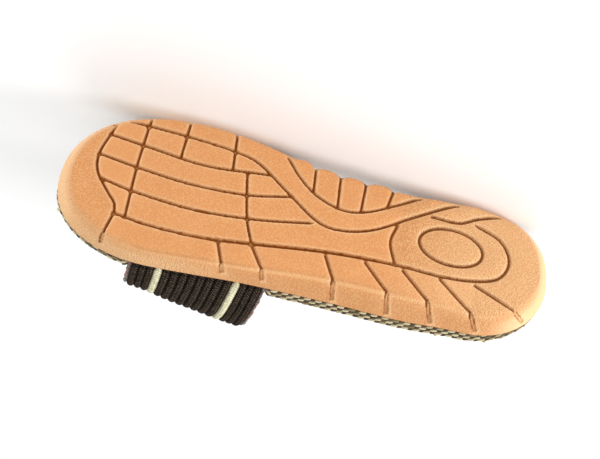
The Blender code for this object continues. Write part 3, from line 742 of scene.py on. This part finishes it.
def foamMarks(at):
    # How much painted shade, grain, painted highlight and wall tint each point gets
    along, outerSide = at["points"][:, 0], at["points"][:, 1] < 0
    between, soft, wallShare, begun = at["between"], at["soft"], at["wallShare"], at["begun"]
    lengthwise = ease((np.abs(at["lateral"]) - np.abs(at["toeward"])) / foam["lengthwise"])
    # Painted shade in the grooves, lighter where grooves cross and between soft lugs, wider on lengthwise
    # grooves
    drawn = 1 - ramp(between - foam["lengthwiseWider"] * lengthwise, groove["floor"], groove["lip"])
    crossing = np.clip(-between / foam["crossing"], 0.0, 1.0)
    hollow = drawn * (1 - foam["crossingPaler"] * crossing) * (1 - foam["softPaler"] * soft)
    # Painted shade lines along the notch edges and on their floors, and a painted shade line under the outer
    # crest
    notchEdge = ((at["notch"] > groove["notchFloor"] - foam["notchLine"])
                 & (at["notch"] < groove["notchLip"] + foam["notchLine"]))
    toeShade, heelShade = foam["notchShade"]
    notchShade = (toeShade + (heelShade - toeShade) * at["heelward"]) * begun * notchEdge
    crestLine = ridge(wallShare, *foam["crestLine"]) * ramp(along, *foam["crestRear"])
    crestLine = crestLine * (along < foam["crestFront"])
    hollow = np.maximum.reduce([hollow, notchShade, foam["notchFloorShade"] * at["square"],
                                foam["crestShade"] * crestLine * outerSide])
    # Painted highlight on lug lips, strongest where they face the light, and on the heel side of each notch
    softToe, softSide = foam["litSoft"]
    litSoft = softToe * at["toeward"] - softSide * at["lateral"]
    litFirm = foam["litFirm"] * (at["lateral"] - at["toeward"])
    lit = np.clip(soft * litSoft + (1 - soft) * litFirm, 0.0, 1.0)
    plain, facing = (firm + more * soft for firm, more in zip(foam["lip"], foam["lipSoft"]))
    fromLip = np.abs(between - groove["lip"] - foam["lipAt"]) / foam["lipWidth"]
    shoulderHighlight = (plain + facing * lit) * np.exp(-fromLip)
    fromNotch = np.abs(at["notch"] - groove["notchLip"] - foam["notchLipAt"]) / foam["notchLipAt"]
    shoulderHighlight = np.maximum(shoulderHighlight, foam["notchLip"] * begun * at["heelward"] * np.exp(-fromNotch))
    # Painted highlights on the sole's ends, the front of the wall and the outer crest, and a painted sheen on
    # the heel's tread
    toeEnd = foam["toeEndShare"] * ramp(along, *foam["toeEnd"])
    ends = wallShare * np.maximum(ramp(along, *foam["heelEnd"]), toeEnd)
    frontGrain = foam["frontGrain"] * ramp(along, *foam["frontGrainAt"])
    onWall = foam["wallGrain"] - foam["endGrain"] * ends + frontGrain
    front = ramp(along, *foam["frontAt"]) * wallShare
    crest = ridge(wallShare, *foam["ridgeLine"]) * ramp(along, *foam["ridgeRear"]) * outerSide
    heelSheen = foam["heelSheen"] * (1 - wallShare) * ramp(along, *foam["heelPaleAt"])
    pale = np.maximum.reduce([foam["endHighlight"] * ends, foam["frontHighlight"] * front,
                              foam["ridgeHighlight"] * crest * (1 - ends), heelSheen])
    return {"hollow": hollow, "shoulderHighlight": shoulderHighlight, "pale": pale,
            "grain": at["grain"] * (1 - wallShare) + wallShare * onWall,
            "wall": wallShare * (1 - ends) * (1 - foam["frontLessTint"] * front)}


def makeFoam():
    material, tree = newMaterial("mouldedFoam")
    place = objectPlace(tree)
    grain, hollow = mark(tree, "grain"), mathNode(tree, "POWER", mark(tree, "hollow"), foam["hollowPower"])
    tone = placeGroup(tree, mottleGroup, place, Scale=foam["mottleScale"], Low=0.0, High=1.0)
    pebble = placeGroup(tree, pebbleGroup, place, Scale=foam["pebbleScale"])
    peak = mapRange(tree, pebble, *foam["pebblePeak"], interpolation_type="SMOOTHSTEP")
    low = mathNode(tree, "SUBTRACT", 1.0, peak)
    body = mixColour(tree, tone, foam["colour"], foam["paleColour"])
    # Painted shade in the pebble grain's pits and painted highlight on its tops, as strong as the grain mark
    for share, colour in ((times(tree, times(tree, low, grain), foam["pitShade"]), "pitShadeColour"),
                          (times(tree, times(tree, peak, grain), foam["peakHighlight"]), "peakHighlightColour")):
        body = mixColour(tree, share, body, foam[colour])
    body = mixColour(tree, mark(tree, "wall"), body, foam["wallTint"], "MULTIPLY")
    # Painted highlights from the pale and shoulder marks, then painted shade in grooves, notches and along
    # the crest
    for share, colour in ((mark(tree, "pale"), "highlightColour"), (mark(tree, "shoulderHighlight"), "highlightColour"),
                          (hollow, "hollowShadeColour")):
        body = mixColour(tree, share, body, foam[colour])
    rough = mathNode(tree, "ADD", mapRange(tree, pebble, 0.0, 1.0, *foam["roughness"]),
                     times(tree, hollow, foam["hollowRougher"]))
    dress(tree, {"Base Color": body, "Roughness": rough, "Specular IOR Level": foam["specular"],
                 "Normal": bump(tree, times(tree, pebble, grain), foam["grainHeight"], 1.0)})
    return material


def makeOutsole():
    at = readSole()
    formed = (at["points"] - at["outward"] * lugDepth(at)[:, None]).reshape(at["shape"])
    return newPiece("outsoleFoam", meshFromGrid("outsoleFoam", onFloor(toFrame(formed)), makeFoam(),
                                                marks=foamMarks(at)))


outsole = makeOutsole()
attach(outsole, "root")
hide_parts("outsole")


# Strap: a lining wall with sixteen plaited cords laid side by side on it
strap = {
    "cordCount": 16, "cordPitch": 4.2, "border": 2.0, "wall": 1.6,
    "rear": 145.0, "fold": 2.4, "inset": 0.9, "fitGap": 0.3,
    "tabEnds": (-31.0, 26.0), "centre": -2.0, "roundness": (2.0, 3.0),
    # place from rear to front, height, outward bulge, lean, inset on the inner side
    "archRows": [(0.0, 49.9, 14.5, 9.0, 0.9), (0.5, 42.8, 11.0, 6.2, 3.7), (1.0, 35.7, 7.0, 1.4, 3.4)],
    # cords bunch towards the hems
    "fanRows": [(0.0, 0.0), (16.7, -1.4), (35.6, -0.3), (54.5, 0.9), (71.2, 0.0)],
    "archPoints": 330, "finePoints": 721, "bendPoints": 6, "tabPoints": 4,
    "creamCords": (3, 12),
    "halfWidth": 2.03, "halfHeight": 1.88, "lowerShare": 0.55, "lift": -0.36, "sides": 16,
    "strandPitch": 1.5, "strands": 4, "strandRelief": 0.13,
    "taperLength": 5.0, "tipShare": 0.35,
    "darkColour": (0.004, 0.0028, 0.002), "darkFleck": (0.150, 0.098, 0.062), "darkSparse": 0.06,
    "creamColour": (0.52, 0.46, 0.25), "creamFleck": (0.86, 0.82, 0.62), "creamSparse": -0.08,
    # strand crests get a painted highlight
    "fleckScale": 1500.0, "fleckFrom": 0.50, "fleckFull": 0.78, "crestHighlight": 0.26,
    "sunkFrom": 0.75, "sunkShade": 0.3,  # painted shade darkens the cords where they sink between their neighbours
}
strapLength = strap["cordCount"] * strap["cordPitch"] + 2 * strap["border"]


def strapLine(distance, archPoints):
    # The lining's outer face across the foot, from one tab's end to the other's
    height, bulge, lean, innerInset = smoothRows(strap["archRows"], distance / strapLength)
    along = strap["rear"] + distance
    outer, inner = rimEdges(np.asarray(along))
    floor = float(rimUp(along)) + strap["fitGap"]
    left, right = outer + strap["inset"], inner - innerInset
    start = floor + strap["fold"]
    turn = np.linspace(0.0, np.pi / 2, strap["bendPoints"] + 1)[:-1]
    tab = np.linspace(0.0, 1.0, strap["tabPoints"] + 1)[:-1]
    up = np.concatenate([np.full(len(tab), floor), start - strap["fold"] * np.cos(turn)])

    def foldedEnd(edge, tabEnd, inward):
        across = np.concatenate([tabEnd + (edge + inward * strap["fold"] - tabEnd) * tab,
                                 edge + inward * strap["fold"] * (1 - np.sin(turn))])
        return np.column_stack([np.full(len(across), along), across, up])

    angle = np.linspace(0.0, np.pi, strap["finePoints"])
    c, s = np.cos(angle), np.maximum(np.sin(angle), 0.0)
    outerPower, innerPower = (2 / p for p in strap["roundness"])
    power = np.where(c > 0, outerPower, innerPower)
    reach = np.where(c > 0, left - strap["centre"], right - strap["centre"]) * np.abs(c) ** power
    across = strap["centre"] + reach - np.where(c > 0, bulge * np.maximum(0.0, np.sin(2 * angle)), 0.0)
    arch = np.column_stack([along + lean * s, across, start + height * s ** power])
    return np.vstack([foldedEnd(left, strap["tabEnds"][0], 1), evenly(arch, archPoints),
                      foldedEnd(right, strap["tabEnds"][1], -1)[::-1]])


def strapFace(distance, step, archPoints):
    # One line of the lining's outer face, and which way it faces
    face = np.stack([strapLine(distance + beside, archPoints) for beside in (-step, 0.0, step)])
    outward = unitVectors(np.cross(np.gradient(face, axis=0), np.gradient(face, axis=1)))
    return face[1], outward[1]


def makeCordTree():
    tree, given = newShapeTree("plaitedCords", [
        ("Half Width", "Float"), ("Half Height", "Float"), ("Lower Share", "Float"), ("Sides", "Int"),
        ("Strand Pitch", "Float"), ("Strands", "Float"), ("Strand Relief", "Float"),
        ("Material", "Material")])
    lines = put(tree, "GeometryNodeMeshToCurve", {"Mesh": given["Geometry"]})
    outward = namedVector(tree, "outDir")
    facing = put(tree, "GeometryNodeSetCurveNormal", {"Curve": lines, "Normal": outward}, mode="FREE")
    path = storeValue(tree, facing, "cordAlong", put(tree, "GeometryNodeSplineParameter", output="Length"))
    circle = put(tree, "GeometryNodeCurvePrimitiveCircle", {"Resolution": given["Sides"], "Radius": 1.0})
    ring = storeValue(tree, circle, "cordAround", put(tree, "GeometryNodeSplineParameter", output="Factor"))
    parts = tree.nodes.new("ShaderNodeSeparateXYZ")
    feed(tree, parts.inputs[0], put(tree, "GeometryNodeInputPosition"))
    down, sideways = parts.outputs[0], parts.outputs[1]
    lower = times(tree, mathNode(tree, "MAXIMUM", down, 0.0), given["Lower Share"])
    height = mathNode(tree, "ADD", lower, mathNode(tree, "MINIMUM", down, 0.0))
    above = times(tree, height, times(tree, given["Half Height"], -1.0))
    beside = times(tree, sideways, given["Half Width"])
    place = put(tree, "ShaderNodeCombineXYZ", {0: above, 1: beside})
    oval = put(tree, "GeometryNodeSetPosition", {"Geometry": ring, "Position": place})
    sweep = put(tree, "GeometryNodeCurveToMesh", {"Curve": path, "Profile Curve": oval, "Fill Caps": True,
                                                  "Scale": namedValue(tree, "taper")})
    facingOut = put(tree, "GeometryNodeFlipFaces", {"Mesh": sweep})
    along = mathNode(tree, "DIVIDE", namedValue(tree, "cordAlong"), given["Strand Pitch"])
    around = times(tree, namedValue(tree, "cordAround"), given["Strands"])
    crest = mathNode(tree, "MAXIMUM", *(
        mathNode(tree, "SINE", times(tree, mathNode(tree, sign, along, around), 2 * math.pi))
        for sign in ("ADD", "SUBTRACT")))
    push = scaled(tree, put(tree, "GeometryNodeInputNormal"), times(tree, crest, given["Strand Relief"]))
    plait = put(tree, "GeometryNodeSetPosition", {
        "Geometry": storeValue(tree, facingOut, "strandCrest", crest), "Offset": push})
    return endShapeTree(tree, plait, given["Material"])


def makeYarn(kind):
    material, tree = newMaterial(kind + "Yarn")
    place = objectPlace(tree)
    speck = placeGroup(tree, fibreGroup, place, Stretch=1.0, Scale=strap["fleckScale"])
    tone = placeGroup(tree, mottleGroup, place, Scale=300.0, Low=0.75, High=1.2)
    # Painted highlight on the strands' crests and painted shade where the cord sinks between its neighbours
    paintedCrest = times(tree, mark(tree, "strandCrest"), strap["crestHighlight"])
    turn = mathNode(tree, "COSINE", times(tree, mark(tree, "cordAround"), 2 * math.pi))
    sunk = mathNode(tree, "MAXIMUM", mathNode(tree, "ADD", turn, strap["sunkFrom"]), 0.0)
    bright = mathNode(tree, "ADD", speck, paintedCrest)
    shown = mathNode(tree, "SUBTRACT", bright, times(tree, sunk, strap["sunkShade"]))
    sparse = strap[kind + "Sparse"]
    body = colourRamp(tree, shown, [(strap["fleckFrom"] + sparse, strap[kind + "Colour"]),
                                    (strap["fleckFull"] + sparse, strap[kind + "Fleck"])])
    dress(tree, {"Base Color": scaled(tree, body, tone), "Roughness": 0.85, "Specular IOR Level": 0.15,
                 "Normal": bump(tree, speck, 0.0005, 0.6)})
    return material


def cordLines(numbers):
    step = 0.5
    points, facing, taper, edges = [], [], [], []
    for number in numbers:
        regular = strap["border"] + (np.array([-0.5, 0.0, 0.5]) + number + 0.5) * strap["cordPitch"]
        edge, middle, otherEdge = regular + smoothRows(strap["fanRows"], regular)[0]
        girth = (otherEdge - edge) / strap["cordPitch"]
        trim = slice(strap["tabPoints"], -strap["tabPoints"])
        line, up = (part[trim] for part in strapFace(middle, step, strap["archPoints"]))
        walk = walked(line)
        fromEnd = np.minimum(walk, walk[-1] - walk)
        share = strap["tipShare"] + (1 - strap["tipShare"]) * ease(fromEnd / strap["taperLength"])
        first = sum(len(p) for p in points)
        edges += [(first + i, first + i + 1) for i in range(len(line) - 1)]
        points.append(line + up * strap["lift"])
        facing.append(up)
        taper.append(share * girth)
    return pointMesh("cordLines", toFrame(np.vstack(points)), edges,
                     {"outDir": turnToFrame(np.vstack(facing)), "taper": np.concatenate(taper)})


def makeCords(name, numbers, material):
    return grow(name, cordLines(numbers), cordTree, {
        "Half Width": strap["halfWidth"] * unit, "Half Height": strap["halfHeight"] * unit,
        "Lower Share": strap["lowerShare"], "Sides": strap["sides"],
        "Strand Pitch": strap["strandPitch"] * unit, "Strands": float(strap["strands"]),
        "Strand Relief": strap["strandRelief"] * unit, "Material": material})


cordTree = makeCordTree()
darkNumbers = [n for n in range(strap["cordCount"]) if n not in strap["creamCords"]]
darkCords = makeCords("darkCords", darkNumbers, makeYarn("dark"))
creamCords = makeCords("creamCords", strap["creamCords"], makeYarn("cream"))
for cords in (darkCords, creamCords):
    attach(cords, "root")


# Lining of the strap, with its front and rear edges turned over in a rounded hem
lining = {
    "outerOffset": -0.30, "hemWidth": 1.9, "hemRise": 0.45, "hemStart": (0.8, 0.6), "hemPoints": 9,
    "archPoints": 130, "columns": 34,
    # share, rate and start of each wave along the hems
    "ragged": 0.22, "raggedWaves": ((1.0, 0.83, 0.0), (0.8, 1.91, 1.0)),
    "colour": (0.018, 0.012, 0.010), "greyFleck": (0.30, 0.26, 0.19), "redFleck": (0.24, 0.050, 0.042),
    "greyFrom": 0.42, "greyFull": 0.60, "redFrom": 0.52, "redFull": 0.60, "redShift": (0.37, 0.11, 0.05),
}


def makeMelange():
    material, tree = newMaterial("melangeCloth")
    place = objectPlace(tree)
    shifted = put(tree, "ShaderNodeVectorMath", {0: place, 1: lining["redShift"]}, operation="ADD")
    speck = placeGroup(tree, fibreGroup, place, Stretch=1.0, Scale=900.0)
    other = placeGroup(tree, fibreGroup, shifted, Stretch=1.0, Scale=700.0)
    # Flecks show only where the hem mark is set, on the hems and inner face; the outer face under the cords
    # stays plain dark as painted shade between the cords
    grey = colourRamp(tree, times(tree, speck, mark(tree, "hem")),
                      [(lining["greyFrom"], lining["colour"]), (lining["greyFull"], lining["greyFleck"])])
    red = mapRange(tree, times(tree, other, mark(tree, "hem")), lining["redFrom"], lining["redFull"])
    dress(tree, {"Base Color": mixColour(tree, red, grey, lining["redFleck"]), "Roughness": 0.88,
                 "Sheen Weight": 0.3, "Normal": bump(tree, speck, 0.0004, 0.6)})
    return material


def makeLining():
    hem, rise, half = lining["hemWidth"], lining["hemRise"], strap["wall"] / 2
    turn = np.linspace(0.0, np.pi, lining["hemPoints"])
    bend = np.column_stack([half * (1 - np.sin(turn)), half * (np.cos(turn) - 1) + rise * (1 - turn / np.pi)])
    hemIn, hemUp = lining["hemStart"]
    rearHem = [(hemIn * hem, hemUp * rise), *bend.tolist()]
    flat = np.linspace(hem, strapLength - hem, lining["columns"])
    profile = [(d, lining["outerOffset"]) for d in flat[::-1]] + rearHem + [(d, -strap["wall"]) for d in flat]
    profile += [(strapLength - d, offset) for d, offset in reversed(rearHem)]
    step = 0.4
    ring = []
    for distance, offset in profile:
        line, outward = strapFace(distance, step, lining["archPoints"])
        ring.append(line + outward * offset)
    grid = np.stack(ring).transpose(1, 0, 2)
    row = np.arange(len(grid))
    waves = [share * np.sin(rate * row + start) for share, rate, start in lining["raggedWaves"]]
    ragged = lining["ragged"] * sum(waves)
    for first, way in ((len(flat), -1), (2 * len(flat) + len(rearHem), 1)):
        grid[:, first + 1:first + len(rearHem) - 1, 0] += way * ragged[:, None]
    # The hem mark is left off the outer face under the cords, keeping it plain dark as painted shade in the
    # gaps between cords
    hemShare = np.array([0.0] * len(flat) + [1.0] * (len(profile) - len(flat)))
    mesh = meshFromGrid("strapLining", onFloor(toFrame(grid)), makeMelange(), capEnds=True,
                        marks={"hem": np.tile(hemShare, len(grid))})
    return newPiece("strapLining", mesh)


strapLining = makeLining()
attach(strapLining, "root")
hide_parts("strap")


# Footbed: a dark core under a mat plaited from flat strands, with rows of plait round its side
footbed = {
    "thickness": (8.3, 5.6),  # at heel and toe
    # along, and how far the footbed's outer and inner edges lie behind the rim
    "insetRows": [(0, 2.0, 2.2), (20, 1.6, 2.2), (45, 0.3, 2.2), (150, 0.3, 2.2), (216, 1.2, 2.2),
                  (245, 2.0, 2.2)],
    "endInset": 1.4, "notchClear": 2.05, "notchEnds": 0.6, "notchEase": 1.0,
    "coreInset": 1.1, "coreDrop": 0.9, "coreNotch": 1.2, "coreRound": 1.0, "coreCut": 0.3,
    "coreTabs": (-30.5, 25.5), "coreSharpDeg": 50.0, "stations": 220,
    "weaveAlong": 3.7, "weaveAcross": 3.5, "weaveColumns": 14, "weaveMargin": 1.6, "weaveSink": 0.62,
    "weaveSize": (2.75, 1.62, 0.72),  # half length, width and height of a strand's visible run
    # tones of the strands along and across the foot, and of every third and fourth one of them
    "alongTone": (0.62, 0.30, 3), "acrossTone": (0.45, 0.08, 4),
    "sidePitch": 5.7, "sideRows": (0.17, 0.50, 0.83), "sideInset": 0.55, "sideUneven": 0.10,
    "sidePoints": 1500,
    "sideTiltDeg": (7.0, 3.0), "sideSize": (2.35, 0.86, 0.82),
    "sideGapShade": (0.78, 0.98, 0.92),  # the dark strands, painted shade in the gaps between cream ones: their size as shares of the cream ones'
    # the dark strands' tone is painted shade of the gaps
    "sidePale": (0.57, 0.34, 0.7), "sideDarkTone": 0.02, "heelTone": 0.62, "heelToneAt": (18, 52),
    "toneSpread": 0.06, "sizeSpread": 0.06, "segments": 10, "rings": 7,
    "creamColour": (0.66, 0.56, 0.33), "oliveColour": (0.26, 0.20, 0.085),
    "darkColour": (0.060, 0.032, 0.012), "paleColour": (0.78, 0.70, 0.50),
    "coreColour": (0.035, 0.022, 0.012), "fibreTone": 0.30,
}
strapFront = strap["rear"] + strapLength


def footbedEdges(along, extraInset):
    # Outer and inner edge of the footbed, drawn in where the strap passes
    edges = rimEdges(np.clip(along, 0.0, shoe["lastLength"]))
    middle = (edges[0] + edges[1]) / 2
    rear, front = strap["rear"] - footbed["notchEnds"], strapFront + footbed["notchEnds"]
    soft = footbed["notchEase"]
    notched = ramp(along, rear - soft, rear) * ramp(along, front + soft, front)
    innerInset = smoothRows(strap["archRows"], (along - strap["rear"]) / strapLength)[3]
    insets = [plain + (behind + footbed["notchClear"] - plain) * notched + extraInset for plain, behind
              in zip(smoothRows(footbed["insetRows"], along), (strap["inset"], innerInset))]
    return np.minimum(edges[0] + insets[0], middle), np.maximum(edges[1] - insets[1], middle)


def footbedFloor(along):
    return rimUp(along) + strap["fitGap"]


def footbedTop(along):
    heel, toe = footbed["thickness"]
    return footbedFloor(along) + heel + (toe - heel) * along / shoe["lastLength"]


def makeCoreMaterial():
    material, tree = newMaterial("footbedCore")
    place = objectPlace(tree)
    tone = placeGroup(tree, mottleGroup, place, Scale=400.0, Low=0.0, High=1.0)
    dress(tree, {"Base Color": mixColour(tree, tone, footbed["coreColour"], footbed["darkColour"]),
                 "Roughness": 0.9, "Normal": bump(tree, tone, 0.0004, 0.5)})
    return material


def makeStrandMaterial():
    material, tree = newMaterial("plaitedStrand")
    fibre = placeGroup(tree, fibreGroup, mark(tree, "strandPlace", "Vector"), Stretch=0.12, Scale=3.2)
    tint = mathNode(tree, "ADD", mark(tree, "tone"), times(tree, fibre, footbed["fibreTone"]))
    colour = colourRamp(tree, tint, [(0.18, footbed["darkColour"]), (0.42, footbed["oliveColour"]),
                                     (0.72, footbed["creamColour"]), (1.0, footbed["paleColour"])])
    dress(tree, {"Base Color": colour, "Roughness": 0.7, "Normal": bump(tree, fibre, 0.0005, 0.7)})
    return material


def makeCore():
    inset = footbed["endInset"] + footbed["coreInset"]
    along = inset + cosineSteps(footbed["stations"]) * (shoe["lastLength"] - 2 * inset)
    outer, inner = footbedEdges(along, footbed["coreInset"])
    floor, top = footbedFloor(along), footbedTop(along) - footbed["coreDrop"]
    rear, front = strap["rear"] - footbed["coreNotch"], strapFront + footbed["coreNotch"]
    soft = footbed["notchEase"]
    notched = ramp(along, rear, rear + soft) * ramp(along, front, front - soft)
    notchUp = floor + notched * footbed["notchClear"]
    middle = (outer + inner) / 2
    share = np.minimum((inner - outer) / 4, footbed["coreRound"])
    cut = footbed["coreCut"] * share
    tabOuter = np.minimum(np.maximum(outer + share, footbed["coreTabs"][0]), middle)
    tabInner = np.maximum(np.minimum(inner - share, footbed["coreTabs"][1]), middle)
    ring = [(tabOuter, floor), (tabOuter, notchUp), (outer, notchUp), (outer, top - share),
            (outer + cut, top - cut), (outer + share, top), (middle, top), (inner - share, top),
            (inner - cut, top - cut), (inner, top - share), (inner, notchUp), (tabInner, notchUp),
            (tabInner, floor)]
    grid = np.stack([np.stack([along, across, up], -1) for across, up in ring], axis=1)
    ends = [np.tile(grid[k].mean(axis=0), (1, len(ring), 1)) for k in (0, -1)]
    mesh = meshFromGrid("footbedCore", toFrame(np.concatenate([ends[0], grid, ends[1]])), makeCoreMaterial())
    mesh.set_sharp_from_angle(angle=math.radians(footbed["coreSharpDeg"]))
    return newPiece("footbedCore", mesh)


def makeStrandTree():
    tree, given = newShapeTree("plaitedStrands", [
        ("Size", "Vector"), ("Segments", "Int"), ("Rings", "Int"), ("Size Spread", "Float"), ("Seed", "Int"),
        ("Material", "Material")])
    dots = put(tree, "GeometryNodeMeshToPoints", {"Mesh": given["Geometry"]})
    ball = put(tree, "GeometryNodeMeshUVSphere", {"Radius": 1.0, "Segments": given["Segments"],
                                                  "Rings": given["Rings"]}, "Mesh")
    turned = put(tree, "GeometryNodeTransform", {"Geometry": ball, "Rotation": (0.0, math.pi / 2, 0.0)})
    strand = storeValue(tree, turned, "ballPlace", put(tree, "GeometryNodeInputPosition"), "FLOAT_VECTOR")
    axes = put(tree, "FunctionNodeAxesToRotation", {"Primary Axis": namedVector(tree, "alongDir"),
                                                    "Secondary Axis": namedVector(tree, "outDir")},
               primary_axis="X", secondary_axis="Z")
    least, most = (mathNode(tree, sign, 1.0, given["Size Spread"]) for sign in ("SUBTRACT", "ADD"))
    spread = put(tree, "FunctionNodeRandomValue", {"Min": least, "Max": most, "Seed": given["Seed"]}, "Value",
                 data_type="FLOAT")
    shared = put(tree, "ShaderNodeVectorMath", {0: given["Size"], 1: namedVector(tree, "sizeShare")},
                 operation="MULTIPLY")
    lay = put(tree, "GeometryNodeInstanceOnPoints", {"Points": dots, "Instance": strand, "Rotation": axes,
                                                     "Scale": scaled(tree, shared, spread)})
    loose = put(tree, "GeometryNodeRealizeInstances", {"Geometry": lay})
    apart = put(tree, "ShaderNodeVectorMath", {0: namedVector(tree, "number"), 1: (7.0, 7.0, 7.0),
                                               2: namedVector(tree, "ballPlace")}, operation="MULTIPLY_ADD")
    marked = storeValue(tree, loose, "strandPlace", apart, "FLOAT_VECTOR")
    return endShapeTree(tree, marked, given["Material"])


def layStrands(name, points, alongDir, outDir, tone, share, size, seed):
    number = np.zeros((len(points), 3))
    number[:, 1] = np.arange(len(points))
    source = pointMesh(name + "Points", toFrame(points), (), {
        "alongDir": turnToFrame(alongDir), "outDir": turnToFrame(outDir), "number": number,
        "sizeShare": share, "tone": tone})
    return grow(name, source, strandTree, {
        "Size": Vector(size) * unit, "Segments": footbed["segments"], "Rings": footbed["rings"],
        "Size Spread": footbed["sizeSpread"], "Seed": seed, "Material": strandMaterial})


def makeMat(seed):
    # Top of the footbed: strands over and under each other, along and across the foot
    draw = np.random.default_rng(seed)
    pitchAlong, pitchAcross = footbed["weaveAlong"], footbed["weaveAcross"]
    rows = np.arange(round(shoe["lastLength"] / pitchAlong))
    columns = np.arange(-footbed["weaveColumns"], footbed["weaveColumns"] + 1)
    i, j = (a.ravel() for a in np.meshgrid(rows, columns, indexing="ij"))
    along, across = (i + 0.5) * pitchAlong, j * pitchAcross
    outer, inner = footbedEdges(along, footbed["weaveMargin"])
    margin = footbed["endInset"] + footbed["weaveMargin"]
    keep = (across > outer) & (across < inner) & (along > margin) & (along < shoe["lastLength"] - margin)
    i, j, along, across = i[keep], j[keep], along[keep], across[keep]
    step = 0.5
    climb = footbedTop(along + step) - footbedTop(along - step)
    lengthwise = unitVectors(np.stack([np.full(len(along), 2 * step), 0 * along, climb], -1))
    sideways = np.tile([0.0, 1.0, 0.0], (len(along), 1))
    warp = (i + j) % 2 == 0
    tones = [np.where(line % every == 0, seldom, usual)
             for line, (usual, seldom, every) in ((j, footbed["alongTone"]), (i, footbed["acrossTone"]))]
    tone = np.where(warp, *tones) + draw.normal(0.0, footbed["toneSpread"], len(along))
    return layStrands("footbedMat", np.stack([along, across, footbedTop(along) - footbed["weaveSink"]], -1),
                      np.where(warp[:, None], lengthwise, sideways), np.cross(lengthwise, sideways), tone,
                      np.ones((len(along), 3)), footbed["weaveSize"], seed)


def makeSidePlait(seed):
    # Rows of slanted strands round the footbed's side, cream ones with dark ones between them as painted
    # shade of the gaps
    draw = np.random.default_rng(seed)
    inset = footbed["endInset"]
    along = inset + cosineSteps(footbed["sidePoints"]) * (shoe["lastLength"] - 2 * inset)
    outer, inner = footbedEdges(along, footbed["sideInset"])
    loop = np.vstack([np.column_stack([along, outer]), np.column_stack([along, inner])[::-1]])
    count = 2 * round(walked(loop)[-1] / footbed["sidePitch"])
    fine = evenly(np.vstack([loop, loop[:1]]), 2 * count + 1)[:-1]
    ahead = unitVectors(np.roll(fine, -1, axis=0) - np.roll(fine, 1, axis=0))
    here, way, level = fine[::2], ahead[::2], np.zeros(count)
    flat, outwards = np.column_stack([way, level]), np.column_stack([-way[:, 1], way[:, 0], level])
    low, high = footbedFloor(here[:, 0]), footbedTop(here[:, 0])
    heelTone = footbed["heelTone"] + (1 - footbed["heelTone"]) * ramp(here[:, 0], *footbed["heelToneAt"])
    tiltDeg, tiltSpread = footbed["sideTiltDeg"]
    usual, seldom, usualShare = footbed["sidePale"]
    points, alongDirs, tones, shares = [], [], [], []
    for row, share in enumerate(footbed["sideRows"]):
        cream = (np.arange(count) + row) % 2 == 0
        up = low + (high - low) * share + draw.normal(0.0, footbed["sideUneven"], count)
        points.append(np.column_stack([here, up]))
        tilt = np.radians(tiltDeg + draw.normal(0.0, tiltSpread, count))[:, None]
        alongDirs.append(flat * np.cos(tilt) + np.array([0.0, 0.0, 1.0]) * np.sin(tilt))
        pale = np.where(draw.random(count) < usualShare, usual, seldom) * heelTone
        # Dark strands between the cream ones paint the shade of the gaps in the plait
        tones.append(np.where(cream, pale, footbed["sideDarkTone"])
                     + draw.normal(0.0, footbed["toneSpread"], count))
        shares.append(np.where(cream[:, None], 1.0, footbed["sideGapShade"]))
    return layStrands("footbedSidePlait", np.vstack(points), np.vstack(alongDirs),
                      np.vstack([outwards] * len(points)), np.concatenate(tones), np.vstack(shares),
                      footbed["sideSize"], seed)


strandTree = makeStrandTree()
strandMaterial = makeStrandMaterial()
core = makeCore()
mat = makeMat(4)
sidePlait = makeSidePlait(9)
for piece in (core, mat, sidePlait):
    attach(piece, "root")
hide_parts("insole")


# Floor, light and camera
studio = {
    "floorSize": 6.0, "floorDrop": 0.0003, "floorColour": (1.0, 1.0, 1.0),
    "worldStrength": 0.62,
    "cameraAt": (192.6, -462.6, -689.6), "cameraAim": (135.1, -9.2, 0.0),  # shoe axes, ungraded
    "rollDeg": 164.8, "lens": 96.0, "sensor": 36.0,
    # name, place, diameter and power of each soft light, aimed at the sandal
    "lights": [("frontLight", (0.1, -1.2, 0.3), 1.0, 2.6), ("topLight", (-0.3, 0.7, 1.1), 1.0, 5.0),
               ("heelLight", (-0.8, -0.19, 0.4), 0.4, 5.0), ("toeLight", (0.8, -0.35, 0.15), 0.5, 2.4)],
    "lightAim": (0.0, 0.0, 0.03),
}


def makeFloor():
    half = studio["floorSize"] / 2
    mesh = bpy.data.meshes.new("floor")
    mesh.from_pydata([(-half, -half, 0), (half, -half, 0), (half, half, 0), (-half, half, 0)], [],
                     [(0, 1, 2, 3)])
    material, tree = newMaterial("paleFloor")
    dress(tree, {"Base Color": (*studio["floorColour"], 1.0), "Roughness": 0.75})
    mesh.materials.append(material)
    floor = newPiece("floor", mesh)
    floor.location.z = -studio["floorDrop"]


def makeLight(name, place, size, power):
    light = bpy.data.lights.new(name, "AREA")
    light.shape = "DISK"
    light.size = size
    light.energy = power
    lamp = newPiece(name, light)
    lamp.location = place
    lamp.rotation_euler = (Vector(studio["lightAim"]) - Vector(place)).to_track_quat("-Z", "Y").to_euler()


def makeWorld():
    world = bpy.data.worlds.new("studio")
    bpy.context.scene.world = world
    world.use_nodes = True
    back = world.node_tree.nodes["Background"]
    back.inputs["Color"].default_value = (1.0, 1.0, 1.0, 1.0)
    back.inputs["Strength"].default_value = studio["worldStrength"]


def makeCamera():
    place, aim = (Vector(toFrame(studio[key])) for key in ("cameraAt", "cameraAim"))
    data = bpy.data.cameras.new("camera")
    data.lens = studio["lens"]
    data.sensor_width = studio["sensor"]
    camera = newPiece("camera", data)
    look = (aim - place).to_track_quat("-Z", "Y")
    camera.matrix_world = (Matrix.Translation(place) @ look.to_matrix().to_4x4()
                           @ Matrix.Rotation(math.radians(-studio["rollDeg"]), 4, "Z"))
    bpy.context.scene.camera = camera


makeFloor()
makeWorld()
for lightRow in studio["lights"]:
    makeLight(*lightRow)
makeCamera()
bpy.context.scene.view_settings.view_transform = "Standard"
print("stage and camera set")
